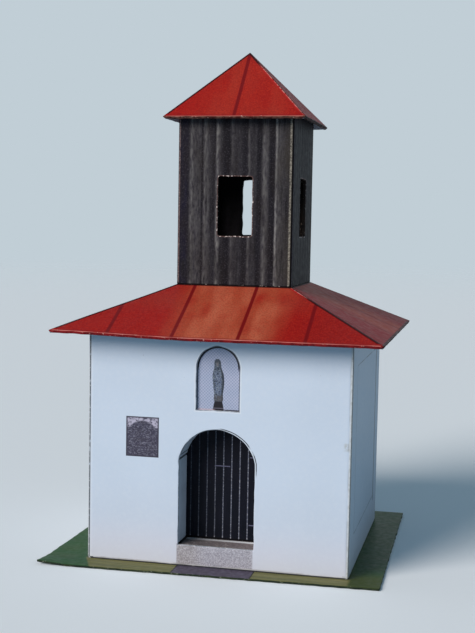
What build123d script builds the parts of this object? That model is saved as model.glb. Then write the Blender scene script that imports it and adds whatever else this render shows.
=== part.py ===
"""Card model of a small chapel.

A square-planned tower with a window in each side stands on a hipped roof over a plain
white chapel, which has an arched doorway and a shallow arched niche in its front wall.
Everything is cut from printed card, scored, folded and glued, with glue flaps at the
foot and head of every wall. The model stands on a thinner base card.

The frame is +Z up and +X to the right of someone facing the doorway, who looks along
+Y. The origin is under the middle of the walls, on the underside of the base card.
Lengths are in millimetres.
"""
import os
from math import atan2, cos, radians, sin, sqrt, tan

from build123d import *

# ---------------------------------------------------------------- driving dimensions
card = 0.5  # thickness of the card that is folded
base_thickness = 0.35  # thickness of the base card

wall_width = 40.0  # chapel walls, outside, left to right
wall_depth = 36.0  # chapel walls, outside, front to back
lower_eave_height = 34.8  # top of the lower eave, above the base card
lower_eave_overhang = 4.7  # from a wall's face out to the eave
lower_roof_rise = 7.0  # from the eave up to the foot of the tower

tower_width = 18.0  # tower walls, outside, left to right
tower_depth = 18.0  # tower walls, outside, front to back
upper_eave_height = 25.6  # top of the upper eave, above the foot of the tower
upper_eave_overhang = 2.05  # from a tower wall's face out to the eave
upper_roof_rise = 11.0  # from the eave up to the apex

base_margin_front = 3.8  # from the walls out to the base card's edge
base_margin_back = 6.0
base_margin_left = 6.1
base_margin_right = 4.7

door_width = 11.6
door_sill = 3.15  # top of the threshold, above the base card
door_spring = 16.1  # where the arch starts, above the base card
door_crown = 20.85  # top of the arch, above the base card
door_recess = 4.7  # from the wall's face back to the door panel

niche_width = 6.56
niche_sill = 23.75  # above the base card
niche_crown = 33.3  # above the base card

window_width = 5.36  # the same in each tower wall
window_sill = 7.6  # above the foot of the tower
window_height = 9.07

glue_lap = 1.5  # how far a card behind an opening reaches past it
wall_flap = 4.0  # depth of the glue flaps folded in at the foot and head of a chapel wall
tower_flap = 3.0  # the same for a tower wall
closing_flap = 5.0  # width of the upright flap that closes each folded box of walls
flap_inset = 2.0  # from the end of a wall's fold to the end of its flap
score_inset = 0.4  # from a corner fold to the groove scored beside it, front and back
score_width = 0.3  # mouth of that groove, which is half as deep
strip_gap = 0.15  # between the folded strips that line the doorway

# ---------------------------------------------------------------- what follows from them
ground_floor = base_thickness  # top of the base card, where the chapel walls stand
lower_eave_z = ground_floor + lower_eave_height
tower_foot_z = lower_eave_z + lower_roof_rise
upper_eave_z = tower_foot_z + upper_eave_height
door_rise = door_crown - door_spring
door_radius = ((door_width / 2) ** 2 + door_rise**2) / (2 * door_rise)

SIDES = {"front": 0, "right": 90, "back": 180, "left": 270}


def outward(side, width, depth):
    """Half the size along a side's outward direction, and half the side's own length."""
    half = {"front": (depth, width), "back": (depth, width)}.get(side, (width, depth))
    return half[0] / 2, half[1] / 2


def plan_plane(side, height):
    """A level plane, with X along the side and Y pointing in from it."""
    return Plane.XY.offset(height).rotated((0, 0, SIDES[side]))


def face_plane(side, distance):
    """The outside face of an upright side: X to the right, Y up, Z pointing out."""
    angle = radians(SIDES[side])
    out = Vector(sin(angle), -cos(angle), 0)
    return Plane(origin=out * distance, x_dir=(cos(angle), sin(angle), 0), z_dir=out)


class HipRoof:
    """A folded roof: four slopes that rise from level eaves to a smaller rectangle."""

    def __init__(self, width, depth, top_width, top_depth, eave_z, rise):
        self.eaves = (width, depth)
        self.top = (top_width, top_depth)
        self.eave_z = eave_z
        self.rise = rise

    def run(self, side):
        """Level distance from the eave to the top of a slope."""
        return outward(side, *self.eaves)[0] - outward(side, *self.top)[0]

    def pitch(self, side):
        """Angle of a slope above level, in radians."""
        return atan2(self.rise, self.run(side))

    def length(self, side):
        """Length of a slope's outer face, from its eave to its top."""
        return sqrt(self.run(side) ** 2 + self.rise**2)

    def slope_plane(self, side):
        """The outer face of a slope: X along its eave, Y up the slope, Z pointing out."""
        angle = radians(SIDES[side])
        pitch = self.pitch(side)
        out = Vector(sin(angle), -cos(angle), 0)
        origin = out * outward(side, *self.eaves)[0] + Vector(0, 0, self.eave_z)
        normal = out * sin(pitch) + Vector(0, 0, cos(pitch))
        return Plane(origin=origin, x_dir=(cos(angle), sin(angle), 0), z_dir=normal)

    def mitre_planes(self, side):
        """The planes through a slope's two hips that halve the folds; Z points off it."""
        names = list(SIDES)
        here = self.slope_plane(side)
        half_width = outward(side, *self.eaves)[1]
        for step, end in ((1, half_width), (-1, -half_width)):
            beside = self.slope_plane(names[(names.index(side) + step) % 4])
            corner = here.from_local_coords(Vector(end, 0, 0))
            yield Plane(origin=corner, z_dir=beside.z_dir - here.z_dir)

    def top_fold_plane(self, side):
        """The plane that halves the fold between a slope and the flat card above it."""
        here = self.slope_plane(side)
        edge = here.from_local_coords(Vector(0, self.length(side), 0))
        return Plane(origin=edge, z_dir=Vector(0, 0, 1) - here.z_dir)


lower_roof = HipRoof(
    wall_width + 2 * lower_eave_overhang,
    wall_depth + 2 * lower_eave_overhang,
    tower_width,
    tower_depth,
    lower_eave_z,
    lower_roof_rise,
)
upper_roof = HipRoof(
    tower_width + 2 * upper_eave_overhang,
    tower_depth + 2 * upper_eave_overhang,
    0,
    0,
    upper_eave_z,
    upper_roof_rise,
)


def make_roof_slope(roof, side):
    """One facet of a folded roof, mitred along its hips and, if it has one, its top fold."""
    half_width = outward(side, *roof.eaves)[1]
    with BuildPart() as slope:
        with BuildSketch(roof.slope_plane(side)):
            Rectangle(2 * half_width, roof.length(side), align=(Align.CENTER, Align.MIN))
        extrude(amount=-card)
        for mitre in roof.mitre_planes(side):
            split(bisect_by=mitre, keep=Keep.BOTTOM)
        if min(roof.top) > 0:
            split(bisect_by=roof.top_fold_plane(side), keep=Keep.BOTTOM)
        else:
            split(bisect_by=face_plane(side, 0), keep=Keep.TOP)
    return slope.part


def glue_flap(fold, length, depth):
    """The outline of a glue flap: its fold lies along X, and its ends taper at 45 degrees."""
    with BuildSketch(fold) as outline:
        with BuildLine():
            Polyline(
                (-length / 2, 0),
                (length / 2, 0),
                (length / 2 - depth, depth),
                (-length / 2 + depth, depth),
                close=True,
            )
        make_face()
    return outline.sketch


def foot_fold(side, distance, foot_z):
    """Where a wall's lower flap starts: on its inner face, level, with Y pointing in."""
    level = plan_plane(side, foot_z)
    return Plane(
        origin=level.from_local_coords(Vector(0, card - distance, 0)),
        x_dir=level.x_dir,
        z_dir=level.z_dir,
    )


def head_fold(side, overhang, roof):
    """Where a wall's upper flap starts, under the slope, with Y pointing up the slope.

    The flap's lower edge starts on the wall's inner face, so its upper edge starts
    inside the wall's thickness.
    """
    underside = roof.slope_plane(side).offset(-card)
    pitch = roof.pitch(side)
    start = (overhang + card - 2 * card * sin(pitch)) / cos(pitch)
    return Plane(
        origin=underside.from_local_coords(Vector(0, start, 0)),
        x_dir=underside.x_dir,
        z_dir=underside.z_dir,
    )


def make_head_flap(side, overhang, roof, length, depth):
    """The flap glued under a wall's own slope, trimmed where the other slopes come down."""
    with BuildPart() as flap:
        extrude(glue_flap(head_fold(side, overhang, roof), length, depth), amount=-card)
        for other in SIDES:
            if other != side:
                underside = roof.slope_plane(other).offset(-card)
                split(bisect_by=underside, keep=Keep.BOTTOM)
    return flap.part


def closing_fold(side, width, depth, bottom_z, top_z):
    """Where an upright flap starts, at a wall's left end, with X up and Y pointing in."""
    distance, half_length = outward(side, width, depth)
    level = plan_plane(side, (bottom_z + top_z) / 2)
    return Plane(
        origin=level.from_local_coords(Vector(card - half_length, card - distance, 0)),
        x_dir=(0, 0, 1),
        z_dir=level.x_dir * -1,
    )


def make_wall(side, width, depth, foot_z, roof, flap_depth, openings):
    """One facet of a folded box of walls, with its glue flaps, up to the roof's underside.

    Its ends are mitred. The folds at the corners are scored on the front and back walls.
    The openings are sketches on the outside face, cut right through. The back wall also
    has the upright flap that closes the box, glued behind the right wall.
    """
    distance, half_length = outward(side, width, depth)
    overhang = outward(side, *roof.eaves)[0] - distance
    inner = half_length - card
    score = half_length - score_inset
    flap_length = 2 * (inner - flap_inset)
    with BuildPart() as wall:
        with BuildSketch(plan_plane(side, foot_z)):
            with BuildLine():
                Polyline(
                    (-half_length, -distance),
                    (half_length, -distance),
                    (inner, card - distance),
                    (-inner, card - distance),
                    close=True,
                )
            make_face()
            if side in ("front", "back"):
                with Locations((-score, -distance), (score, -distance)):
                    groove = score_width / sqrt(2)
                    Rectangle(groove, groove, rotation=45, mode=Mode.SUBTRACT)
        extrude(amount=roof.eave_z + roof.rise - foot_z)
        for roof_side in SIDES:
            underside = roof.slope_plane(roof_side).offset(-card)
            split(bisect_by=underside, keep=Keep.BOTTOM)
        for opening in openings:
            extrude(opening, amount=-card, mode=Mode.SUBTRACT)
        extrude(glue_flap(foot_fold(side, distance, foot_z), flap_length, flap_depth), amount=card)
        add(make_head_flap(side, overhang, roof, flap_length, flap_depth))
        if side == "back":
            low = foot_z + 2 * card
            high = roof.eave_z + overhang * tan(roof.pitch(side)) - 3 * card
            fold = closing_fold(side, width, depth, low, high)
            extrude(glue_flap(fold, high - low, closing_flap), amount=-card)
    return wall.part


def save(part, name):
    """Labels a finished piece and writes its file."""
    part.label = name
    export_step(part, f"parts/{name}.step")


os.makedirs("parts", exist_ok=True)

# ---------------------------------------------------------------- base card
with BuildPart() as base_card:
    with BuildSketch():
        with Locations((-wall_width / 2 - base_margin_left, -wall_depth / 2 - base_margin_front)):
            Rectangle(
                wall_width + base_margin_left + base_margin_right,
                wall_depth + base_margin_front + base_margin_back,
                align=Align.MIN,
            )
    extrude(amount=base_thickness)
save(base_card.part, "base_card")

# ---------------------------------------------------------------- openings
wall_face = face_plane("front", wall_depth / 2)

with BuildSketch(wall_face) as doorway:
    with BuildLine():
        sides = Polyline(
            (-door_width / 2, ground_floor + door_spring),
            (-door_width / 2, ground_floor + door_sill),
            (door_width / 2, ground_floor + door_sill),
            (door_width / 2, ground_floor + door_spring),
        )
        ThreePointArc(sides @ 1, (0, ground_floor + door_crown), sides @ 0)
    make_face()

with BuildSketch(wall_face) as niche:
    with BuildLine():
        niche_spring = ground_floor + niche_crown - niche_width / 2
        cheeks = Polyline(
            (-niche_width / 2, niche_spring),
            (-niche_width / 2, ground_floor + niche_sill),
            (niche_width / 2, ground_floor + niche_sill),
            (niche_width / 2, niche_spring),
        )
        ThreePointArc(cheeks @ 1, (0, ground_floor + niche_crown), cheeks @ 0)
    make_face()


def make_window(side):
    """The window sketch on one face of the tower."""
    distance = outward(side, tower_width, tower_depth)[0]
    with BuildSketch(face_plane(side, distance)) as window:
        with Locations((0, tower_foot_z + window_sill)):
            Rectangle(window_width, window_height, align=(Align.CENTER, Align.MIN))
    return window.sketch


# ---------------------------------------------------------------- walls and roofs
for side in SIDES:
    openings = [doorway.sketch, niche.sketch] if side == "front" else []
    wall = make_wall(
        side, wall_width, wall_depth, ground_floor, lower_roof, wall_flap, openings
    )
    save(wall, f"{side}_wall")
    save(make_roof_slope(lower_roof, side), f"lower_roof_{side}")

    tower_wall = make_wall(
        side, tower_width, tower_depth, tower_foot_z, upper_roof, tower_flap, [make_window(side)]
    )
    save(tower_wall, f"tower_{side}_wall")
    save(make_roof_slope(upper_roof, side), f"upper_roof_{side}")

# ---------------------------------------------------------------- flat top of the lower roof
# It closes the roof under the tower, and its edges meet the slopes in mitred folds.
side_taper = card * tan(lower_roof.pitch("right") / 2)
end_taper = card * tan(lower_roof.pitch("front") / 2)
with BuildPart() as roof_deck:
    with BuildSketch(Plane.XY.offset(tower_foot_z - card)):
        Rectangle(tower_width - 2 * side_taper, tower_depth - 2 * end_taper)
    with BuildSketch(Plane.XY.offset(tower_foot_z)):
        Rectangle(tower_width, tower_depth)
    loft()
save(roof_deck.part, "roof_deck")

# ---------------------------------------------------------------- lining of the doorway
recess_front = face_plane("front", wall_depth / 2 - card)
lining_depth = door_recess - card

for name, edge in (("left_jamb", -1), ("right_jamb", 1)):
    with BuildPart() as jamb:
        with BuildSketch(recess_front):
            with Locations((edge * (door_width + card) / 2, ground_floor + door_sill + strip_gap)):
                Rectangle(
                    card,
                    door_spring - door_sill - 2 * strip_gap,
                    align=(Align.CENTER, Align.MIN),
                )
        extrude(amount=-lining_depth)
    save(jamb.part, name)

with BuildPart() as arch_lining:
    with BuildSketch(recess_front):
        with Locations((0, ground_floor + door_crown - door_radius)):
            Circle(door_radius + card)
            Circle(door_radius, mode=Mode.SUBTRACT)
        with Locations((0, ground_floor + door_spring)):
            Rectangle(
                4 * door_radius, 4 * door_radius, align=(Align.CENTER, Align.MIN), mode=Mode.INTERSECT
            )
    extrude(amount=-lining_depth)
save(arch_lining.part, "arch_lining")

with BuildPart() as threshold:
    with BuildSketch(recess_front):
        with Locations((0, ground_floor + door_sill)):
            Rectangle(door_width + 2 * card, card, align=(Align.CENTER, Align.MAX))
    extrude(amount=-lining_depth)
save(threshold.part, "threshold")

# ---------------------------------------------------------------- cards behind the openings
with BuildPart() as door_panel:
    with BuildSketch(face_plane("front", wall_depth / 2 - door_recess)):
        with Locations((0, ground_floor + door_sill - card)):
            Rectangle(
                door_width + 2 * (card + glue_lap),
                door_crown - door_sill + 2 * card + glue_lap,
                align=(Align.CENTER, Align.MIN),
            )
    extrude(amount=-card)
save(door_panel.part, "door_panel")

with BuildPart() as niche_card:
    with BuildSketch(recess_front):
        with Locations((0, ground_floor + niche_sill - glue_lap)):
            Rectangle(
                niche_width + 2 * glue_lap,
                niche_crown - niche_sill + 2 * glue_lap,
                align=(Align.CENTER, Align.MIN),
            )
    extrude(amount=-card)
save(niche_card.part, "niche_card")
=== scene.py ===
"""The finished look of a small chapel folded from printed card.

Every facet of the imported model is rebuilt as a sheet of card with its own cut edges,
scored folds and prints. Sizes are in millimetres until a mesh is made, and the frame is
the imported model's: +Z up, +X to the right of the doorway, +Y from the doorway back.
"""

import logging
import math
from collections.abc import Callable, Sequence
from dataclasses import dataclass, replace
from enum import Enum
from typing import Any

import bpy
import numpy as np
from mathutils import Matrix, Vector, geometry

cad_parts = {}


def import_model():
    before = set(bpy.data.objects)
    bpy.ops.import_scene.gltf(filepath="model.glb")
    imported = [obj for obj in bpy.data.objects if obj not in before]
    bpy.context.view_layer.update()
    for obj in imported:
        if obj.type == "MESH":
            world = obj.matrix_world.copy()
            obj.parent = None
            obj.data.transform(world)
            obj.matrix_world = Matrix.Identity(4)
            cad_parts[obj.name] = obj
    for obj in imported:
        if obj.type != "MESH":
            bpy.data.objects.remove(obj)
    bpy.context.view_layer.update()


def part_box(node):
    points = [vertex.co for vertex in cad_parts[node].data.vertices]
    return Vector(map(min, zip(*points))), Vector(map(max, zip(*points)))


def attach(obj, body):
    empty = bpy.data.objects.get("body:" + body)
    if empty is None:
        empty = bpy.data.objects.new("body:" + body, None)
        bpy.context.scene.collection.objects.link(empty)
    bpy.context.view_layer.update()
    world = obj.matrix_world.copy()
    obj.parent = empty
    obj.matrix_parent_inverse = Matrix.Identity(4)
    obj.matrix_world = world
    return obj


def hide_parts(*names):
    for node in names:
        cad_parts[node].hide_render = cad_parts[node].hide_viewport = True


LOG = logging.getLogger("chapel")
MM = 0.001  # one millimetre, in metres
CARD_MAP = "card"  # the UV map: where a vertex is on its card, in mm
EDGE = "edge_mm"  # the attribute: how far in from the card's nearest edge a vertex is

Array = np.ndarray
Socket = bpy.types.NodeSocket
Material = bpy.types.Material
Arch = tuple[float, float, float, float]  # half the width, then the sill, spring and crown

# Heights are above the base card.
DOOR: Arch = (5.8, 3.15, 16.1, 20.85)
NICHE: Arch = (3.28, 23.75, 30.02, 33.3)


# ---------------------------------------------------------------- directions and folds
class Side(Enum):
    """The way a wall or a slope faces, counted in quarter turns from the front."""

    FRONT = 0
    RIGHT = 1
    BACK = 2
    LEFT = 3

    @property
    def out(self) -> Array:
        """The level direction that the side faces."""
        turn = self.value * math.pi / 2
        return np.array([math.sin(turn), -math.cos(turn), 0.0]).round(9)

    @property
    def along(self) -> Array:
        """The level direction to the right of someone who looks at the side."""
        turn = self.value * math.pi / 2
        return np.array([math.cos(turn), math.sin(turn), 0.0]).round(9)

    def halves(self, half_x: float, half_y: float) -> tuple[float, float]:
        """How far out the side stands, and half its own length."""
        return (half_y, half_x) if self.value % 2 == 0 else (half_x, half_y)

    def beside(self, step: int) -> "Side":
        """The side that many quarter turns further round."""
        return Side((self.value + step) % 4)


class EdgeKind(Enum):
    """How a sheet ends along an edge."""

    CUT = 0  # cut with a knife
    SCORED = 1  # folded, with a groove scored just inside the fold
    FOLDED = 2  # folded, with no groove on this side


# Each row is a ring round the sheet: how far in from the edge it lies, how deep it is,
# and what share of the card's thickness is added to that depth.
PROFILES = {
    EdgeKind.CUT: (
        (0.75, 0, 0), (0.45, 0, 0), (0.2, 0, 0), (0.07, 0.004, 0), (0.02, 0.02, 0),
        (0.003, 0.06, 0), (0, 0, 0.5), (0.01, -0.06, 1), (0.03, -0.02, 1), (0.1, 0, 1),
        (0.75, 0, 1),
    ),
    EdgeKind.SCORED: (
        (0.75, 0, 0), (0.6, -0.004, 0), (0.53, 0.004, 0), (0.4, 0.035, 0), (0.29, 0, 0),
        (0.14, -0.014, 0), (0.035, 0.012, 0), (0, 0.06, 0), (0, 0, 0.6), (0, 0, 1),
        (0.75, 0, 1),
    ),
    EdgeKind.FOLDED: (
        (0.75, 0, 0), (0.45, 0, 0), (0.2, 0, 0), (0.1, 0.003, 0), (0.045, 0.012, 0),
        (0.015, 0.034, 0), (0, 0.08, 0), (0, 0, 0.4), (0, 0, 0.7), (0, 0, 1),
        (0.75, 0, 1),
    ),
}
FACE_ROWS, EDGE_ROWS = 4, 8  # the first rows are the face, the next the edge, the rest the back
WAVES, SHORTEST, LONGEST = 24, 2, 12  # how many waves a hand-cut edge has, and their lengths
SLIDE = 4.0  # over how many mm the sliding of a corner dies away along its edges
CURVE_POINTS, ARC_POINTS = 5, 41  # how many points a rounded corner and an arched head have
IN_LINE = 1e-6  # edges whose normals differ by less than this count as in line
CLEAR = 0.45  # how near a face's rim its grid points come, as a share of their spacing
WELD = 1e-7  # points nearer than this, in mm, count as one
MIX_A, MIX_B, MIX_COLOUR = 6, 7, 2  # a Mix node's two colours, and its colour output


def wander(distance: Array, total: float, size: float, seed: int) -> Array:
    """How far a hand-cut edge strays from its line.

    The sum of sine waves that each fit a whole number of times round the outline, with
    lengths and phases from the seed.

    Args:
        distance: How far round the outline each point is.
        total: The length of the whole outline.
        size: About how far the edge strays, in mm.
        seed: Picks the waves.

    Returns:
        One offset for each point.
    """
    rng = np.random.default_rng(seed)
    turns = rng.integers(max(1, int(total / LONGEST)), max(3, int(total / SHORTEST)), WAVES)
    phases = rng.uniform(0, 2 * np.pi, WAVES)
    waves = np.sin(2 * np.pi * turns * distance[:, None] / total + phases)
    return size * waves.sum(axis=1) / math.sqrt(WAVES)


def meet(before: Array, after: Array, rate_before: Array, rate_after: Array) -> Array:
    """How corners move when both their edges move at given rates.

    The answer is the vector whose component along each edge's normal is that edge's
    rate. Where the edges are nearly in line, it is their shared normal times the rate.

    Args:
        before: The normals of the edges before the corners.
        after: The normals of the edges after them.
        rate_before: How fast each edge before moves.
        rate_after: How fast each edge after moves.

    Returns:
        One vector for each corner.
    """
    turn = (before * after).sum(axis=1)
    in_line = 1 - turn**2 <= IN_LINE
    apart = np.where(in_line, 1.0, 1 - turn**2)
    solved = (
        before * ((rate_before - rate_after * turn) / apart)[:, None]
        + after * ((rate_after - rate_before * turn) / apart)[:, None]
    )
    return np.where(in_line[:, None], after * rate_after[:, None], solved)


@dataclass(frozen=True)
class Outline:
    """A closed line on a card's face, with the card always on its left.

    Attributes:
        points: Places on the card, shape (n, 2).
        inward: How a point moves for each mm that the line moves into the card.
        lean: How a point moves for each mm of depth, where an edge is mitred.
        scored: 1 where the edge is a scored fold.
        folded: 1 where it is a fold with no groove.
        creased: Whether the edge from each point to the next is a fold.
    """

    points: Array
    inward: Array
    lean: Array
    scored: Array
    folded: Array
    creased: Array

    @classmethod
    def trace(
        cls,
        corners: Sequence[Sequence[float]],
        kinds: Sequence[EdgeKind] | EdgeKind = EdgeKind.CUT,
        leans: Sequence[float] | float = 0.0,
        rounding: Sequence[float] | float = 0.0,
        step: float = 0.5,
        stray: float = 0.0,
        seed: int = 1,
    ) -> "Outline":
        """Follows straight runs between corners, which may be rounded.

        A rounded corner is a quadratic curve from one run to the next. A sharp corner
        moves so that both its edges keep their own rates, as `meet` solves. Along a run
        the points move by the edge's normal, plus the sliding of the corners at its
        ends, which dies away, so that the rings never cross.

        Args:
            corners: The corners in order, with the card on the left.
            kinds: What the edge after each corner is.
            leans: How far each edge moves in for each mm of depth.
            rounding: How far back from each corner its curve starts.
            step: About how far apart the points are.
            stray: About how far a cut edge wanders.
            seed: Picks the wandering.

        Returns:
            The outline.
        """
        corner = np.asarray(corners, float)
        count = len(corner)
        kind = [kinds] * count if isinstance(kinds, EdgeKind) else list(kinds)
        lean = np.broadcast_to(np.asarray(leans, float), (count,))
        curve = np.broadcast_to(np.asarray(rounding, float), (count,))
        ahead = np.roll(corner, -1, axis=0) - corner
        ahead = ahead / np.linalg.norm(ahead, axis=1)[:, None]
        normal = np.stack([-ahead[:, 1], ahead[:, 0]], axis=1)
        before = np.roll(normal, 1, axis=0)
        sharp = (curve == 0)[:, None]
        moves = (
            (np.ones(count), sharp * meet(before, normal, np.ones(count), np.ones(count))),
            (lean, sharp * meet(before, normal, np.roll(lean, 1), lean)),
        )
        points, codes = [], []
        vectors: tuple[list[Array], list[Array]] = ([], [])
        for here in range(count):
            there = (here + 1) % count
            start = corner[here] + ahead[here] * curve[here]
            end = corner[there] - ahead[here] * curve[there]
            length = float(np.linalg.norm(end - start))
            run = np.linspace(0, length, max(1, round(length / step)), endpoint=False)[:, None]
            reach = min(SLIDE, length)
            points.append(start + ahead[here] * run)
            fading = (
                (here, np.clip(1 - run / reach, 0, 1)),
                (there, np.clip(1 - (length - run) / reach, 0, 1)),
            )
            for kept, (rate, met) in zip(vectors, moves):
                slide = sum(fade * (met[at] @ ahead[here]) for at, fade in fading)
                kept.append(normal[here] * rate[here] + ahead[here] * slide)
            if curve[there] > 0:
                share = np.linspace(0, 1, CURVE_POINTS, endpoint=False)[:, None]
                after = corner[there] + ahead[there] * curve[there]
                bend = 2 * share * (1 - share) * corner[there]
                points.append((1 - share) ** 2 * end + bend + share**2 * after)
                facing = normal[here] * (1 - share) + normal[there] * share
                facing = facing / np.linalg.norm(facing, axis=1)[:, None]
                for kept, (rate, _) in zip(vectors, moves):
                    kept.append(facing * rate[here])
            codes.append(np.full(sum(map(len, points)) - sum(map(len, codes)), kind[here].value))
        place, code = np.concatenate(points), np.concatenate(codes)
        inward, leaning = (np.concatenate(kept) for kept in vectors)
        if stray > 0:
            length = np.linalg.norm(np.roll(place, -1, axis=0) - place, axis=1)
            cut = (code == EdgeKind.CUT.value) & (np.roll(code, 1) == EdgeKind.CUT.value)
            offset = wander(np.cumsum(length), float(length.sum()), stray, seed) * cut
            place = place - inward * offset[:, None]
        scored, folded = (
            ((code == k.value) | (np.roll(code, 1) == k.value)).astype(float)
            for k in (EdgeKind.SCORED, EdgeKind.FOLDED)
        )
        creased = code != EdgeKind.CUT.value
        return cls(place, inward, leaning, scored, folded * (1 - scored), creased)

    def rings(self, thickness: float) -> tuple[Array, Array, Array]:
        """Carries the edge profile round the outline.

        Each ring is the outline moved in along its inward vectors by the profile's
        inset, and along its leans by the profile's depth.

        Args:
            thickness: The card's thickness.

        Returns:
            Places (rings, points, 2), depths and insets (rings, points).
        """
        weights = {
            EdgeKind.CUT: 1 - self.scored - self.folded,
            EdgeKind.SCORED: self.scored,
            EdgeKind.FOLDED: self.folded,
        }
        rows = sum(
            np.array(PROFILES[kind], float)[:, None, :] * weight[None, :, None]
            for kind, weight in weights.items()
        )
        inset, depth = rows[..., 0], rows[..., 1] + rows[..., 2] * thickness
        places = self.points + self.inward * inset[..., None] + self.lean * depth[..., None]
        return places, depth, inset


def rectangle(left: float, right: float, low: float, high: float) -> list[tuple[float, float]]:
    """The corners of a rectangle, anticlockwise from the lower left."""
    return [(left, low), (right, low), (right, high), (left, high)]


def arch_radius(half: float, rise: float) -> float:
    """The radius of the circle through both springing points and the crown."""
    return (half**2 + rise**2) / (2 * rise)


def arched(half: float, sill: float, spring: float, crown: float) -> list[tuple[float, float]]:
    """The corners of an opening with an arched head, anticlockwise from the lower left.

    The head is the arc of a circle through both springing points and the crown.

    Args:
        half: Half the opening's width.
        sill: The height of its sill.
        spring: The height at which the arch starts.
        crown: The height of its top.

    Returns:
        The corners, with the arc as a run of points.
    """
    radius = arch_radius(half, crown - spring)
    reach = math.atan2(half, radius - crown + spring)
    turn = np.linspace(reach, -reach, ARC_POINTS)
    x, z = radius * np.sin(turn), crown - radius + radius * np.cos(turn)
    return [(-half, sill), (half, sill), *zip(x.tolist(), z.tolist())]


def inside(places: Array, starts: Array, ends: Array) -> Array:
    """Which places lie inside a set of loops.

    A place is inside if a level line drawn from it crosses the loops' edges an odd
    number of times.

    Args:
        places: The places, shape (n, 2).
        starts: Where each edge starts.
        ends: Where each edge ends.

    Returns:
        One truth value for each place.
    """
    level = places[:, None, 1]
    rise = np.where(starts[:, 1] == ends[:, 1], 1.0, ends[:, 1] - starts[:, 1])
    meets = starts[:, 0] + (level - starts[:, 1]) * (ends[:, 0] - starts[:, 0]) / rise
    crossed = ((starts[:, 1] > level) != (ends[:, 1] > level)) & (places[:, None, 0] < meets)
    return crossed.sum(axis=1) % 2 == 1


def fill(loops: Sequence[Array], spacing: float) -> tuple[Array, Array]:
    """Fills the flat between loops with triangles on a square grid of inner points.

    The loops and the grid are joined by a Delaunay triangulation that keeps the loops'
    edges, and the triangles whose middles lie inside the loops are kept.

    Args:
        loops: The outer loop, then any openings.
        spacing: The grid's spacing.

    Returns:
        The grid points that were kept, and triangles that count the loops' points first.
    """
    rim = np.concatenate(loops)
    firsts = np.cumsum([0] + [len(loop) for loop in loops])
    edges = np.concatenate([
        np.stack([first + np.arange(len(loop)), first + (np.arange(len(loop)) + 1) % len(loop)], 1)
        for first, loop in zip(firsts, loops)
    ])
    starts, ends = rim[edges[:, 0]], rim[edges[:, 1]]
    low, high = rim.min(axis=0), rim.max(axis=0)
    axes = [np.arange(low[i] + spacing / 2, high[i], spacing) for i in (0, 1)]
    grid = np.stack(np.meshgrid(*axes), axis=-1).reshape(-1, 2)
    clear = np.linalg.norm(grid[:, None] - rim[None], axis=2).min(axis=1) > spacing * CLEAR
    grid = grid[inside(grid, starts, ends) & clear]
    places = np.concatenate([rim, grid])
    vectors = [Vector(place) for place in places.tolist()]
    made = geometry.delaunay_2d_cdt(vectors, edges.tolist(), [], 0, WELD)
    triangles = np.array([origin[0] for origin in made[3]])[np.array(made[2])]
    kept = inside(places[triangles].mean(axis=1), starts, ends)
    return grid, triangles[kept]


@dataclass
class Shell:
    """A closed sheet before it is laid in place.

    Attributes:
        flat: Where each vertex is on the card, in mm.
        depth: How deep each vertex is below the face.
        edge: How far in from the nearest edge each vertex is.
        faces: Quads and triangles as arrays of vertex numbers.
        parts: For each array of faces, which material each face takes.
    """

    flat: Array
    depth: Array
    edge: Array
    faces: list[Array]
    parts: list[Array]


@dataclass
class Card:
    """A flat piece of card with a thickness, cut to an outline.

    Attributes:
        outline: The card's own outline.
        thickness: The card's thickness.
        openings: Outlines cut through it, traced clockwise.
        spacing: The spacing of the grid that fills its faces.
    """

    outline: Outline
    thickness: float
    openings: Sequence[Outline] = ()
    spacing: float = 2.0

    def shell(self) -> Shell:
        """Closes the card: rings carried round every outline, and both faces filled.

        Rings next to each other are joined by quads, point to point. The first ring is
        also the rim of the face, and the last one the rim of the back.

        Returns:
            The closed sheet.
        """
        flats, depths, edges, faces, parts = [], [], [], [], []
        tops, bottoms, base = [], [], 0
        for outline in (self.outline, *self.openings):
            places, depth, inset = outline.rings(self.thickness)
            rings, count = depth.shape
            number = base + np.arange(rings * count).reshape(rings, count)
            on = np.roll(number, -1, axis=1)
            quads = np.stack([number[:-1], number[1:], on[1:], on[:-1]], axis=-1)
            row = np.repeat(np.arange(rings - 1), count)
            creased = np.tile(outline.creased, rings - 1)
            faces.append(quads.reshape(-1, 4))
            edge = ((row >= FACE_ROWS) & ~creased).astype(int)
            parts.append(edge + (row >= EDGE_ROWS) * (1 + creased))
            tops.append(number[0])
            bottoms.append(number[-1])
            flats.append(places.reshape(-1, 2))
            depths.append(depth.ravel())
            edges.append(inset.ravel())
            base += rings * count
        for loops, deep, part in ((tops, 0.0, 0), (bottoms, self.thickness, 2)):
            placed = np.concatenate(flats)
            grid, triangles = fill([placed[loop] for loop in loops], self.spacing)
            number = np.concatenate([*loops, base + np.arange(len(grid))])
            corners = np.concatenate([placed[np.concatenate(loops)], grid])[triangles]
            (bx, by), (cx, cy) = ((corners[:, i] - corners[:, 0]).T for i in (1, 2))
            backwards = (bx * cy - by * cx < 0) == (part == 0)
            triangles[backwards] = triangles[backwards][:, ::-1]
            faces.append(number[triangles])
            parts.append(np.full(len(triangles), part))
            flats.append(grid)
            depths.append(np.full(len(grid), deep))
            edges.append(np.full(len(grid), 1.0))
            base += len(grid)
        return Shell(*(np.concatenate(x) for x in (flats, depths, edges)), faces, parts)


Lay = Callable[[Array, Array], Array]


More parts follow.
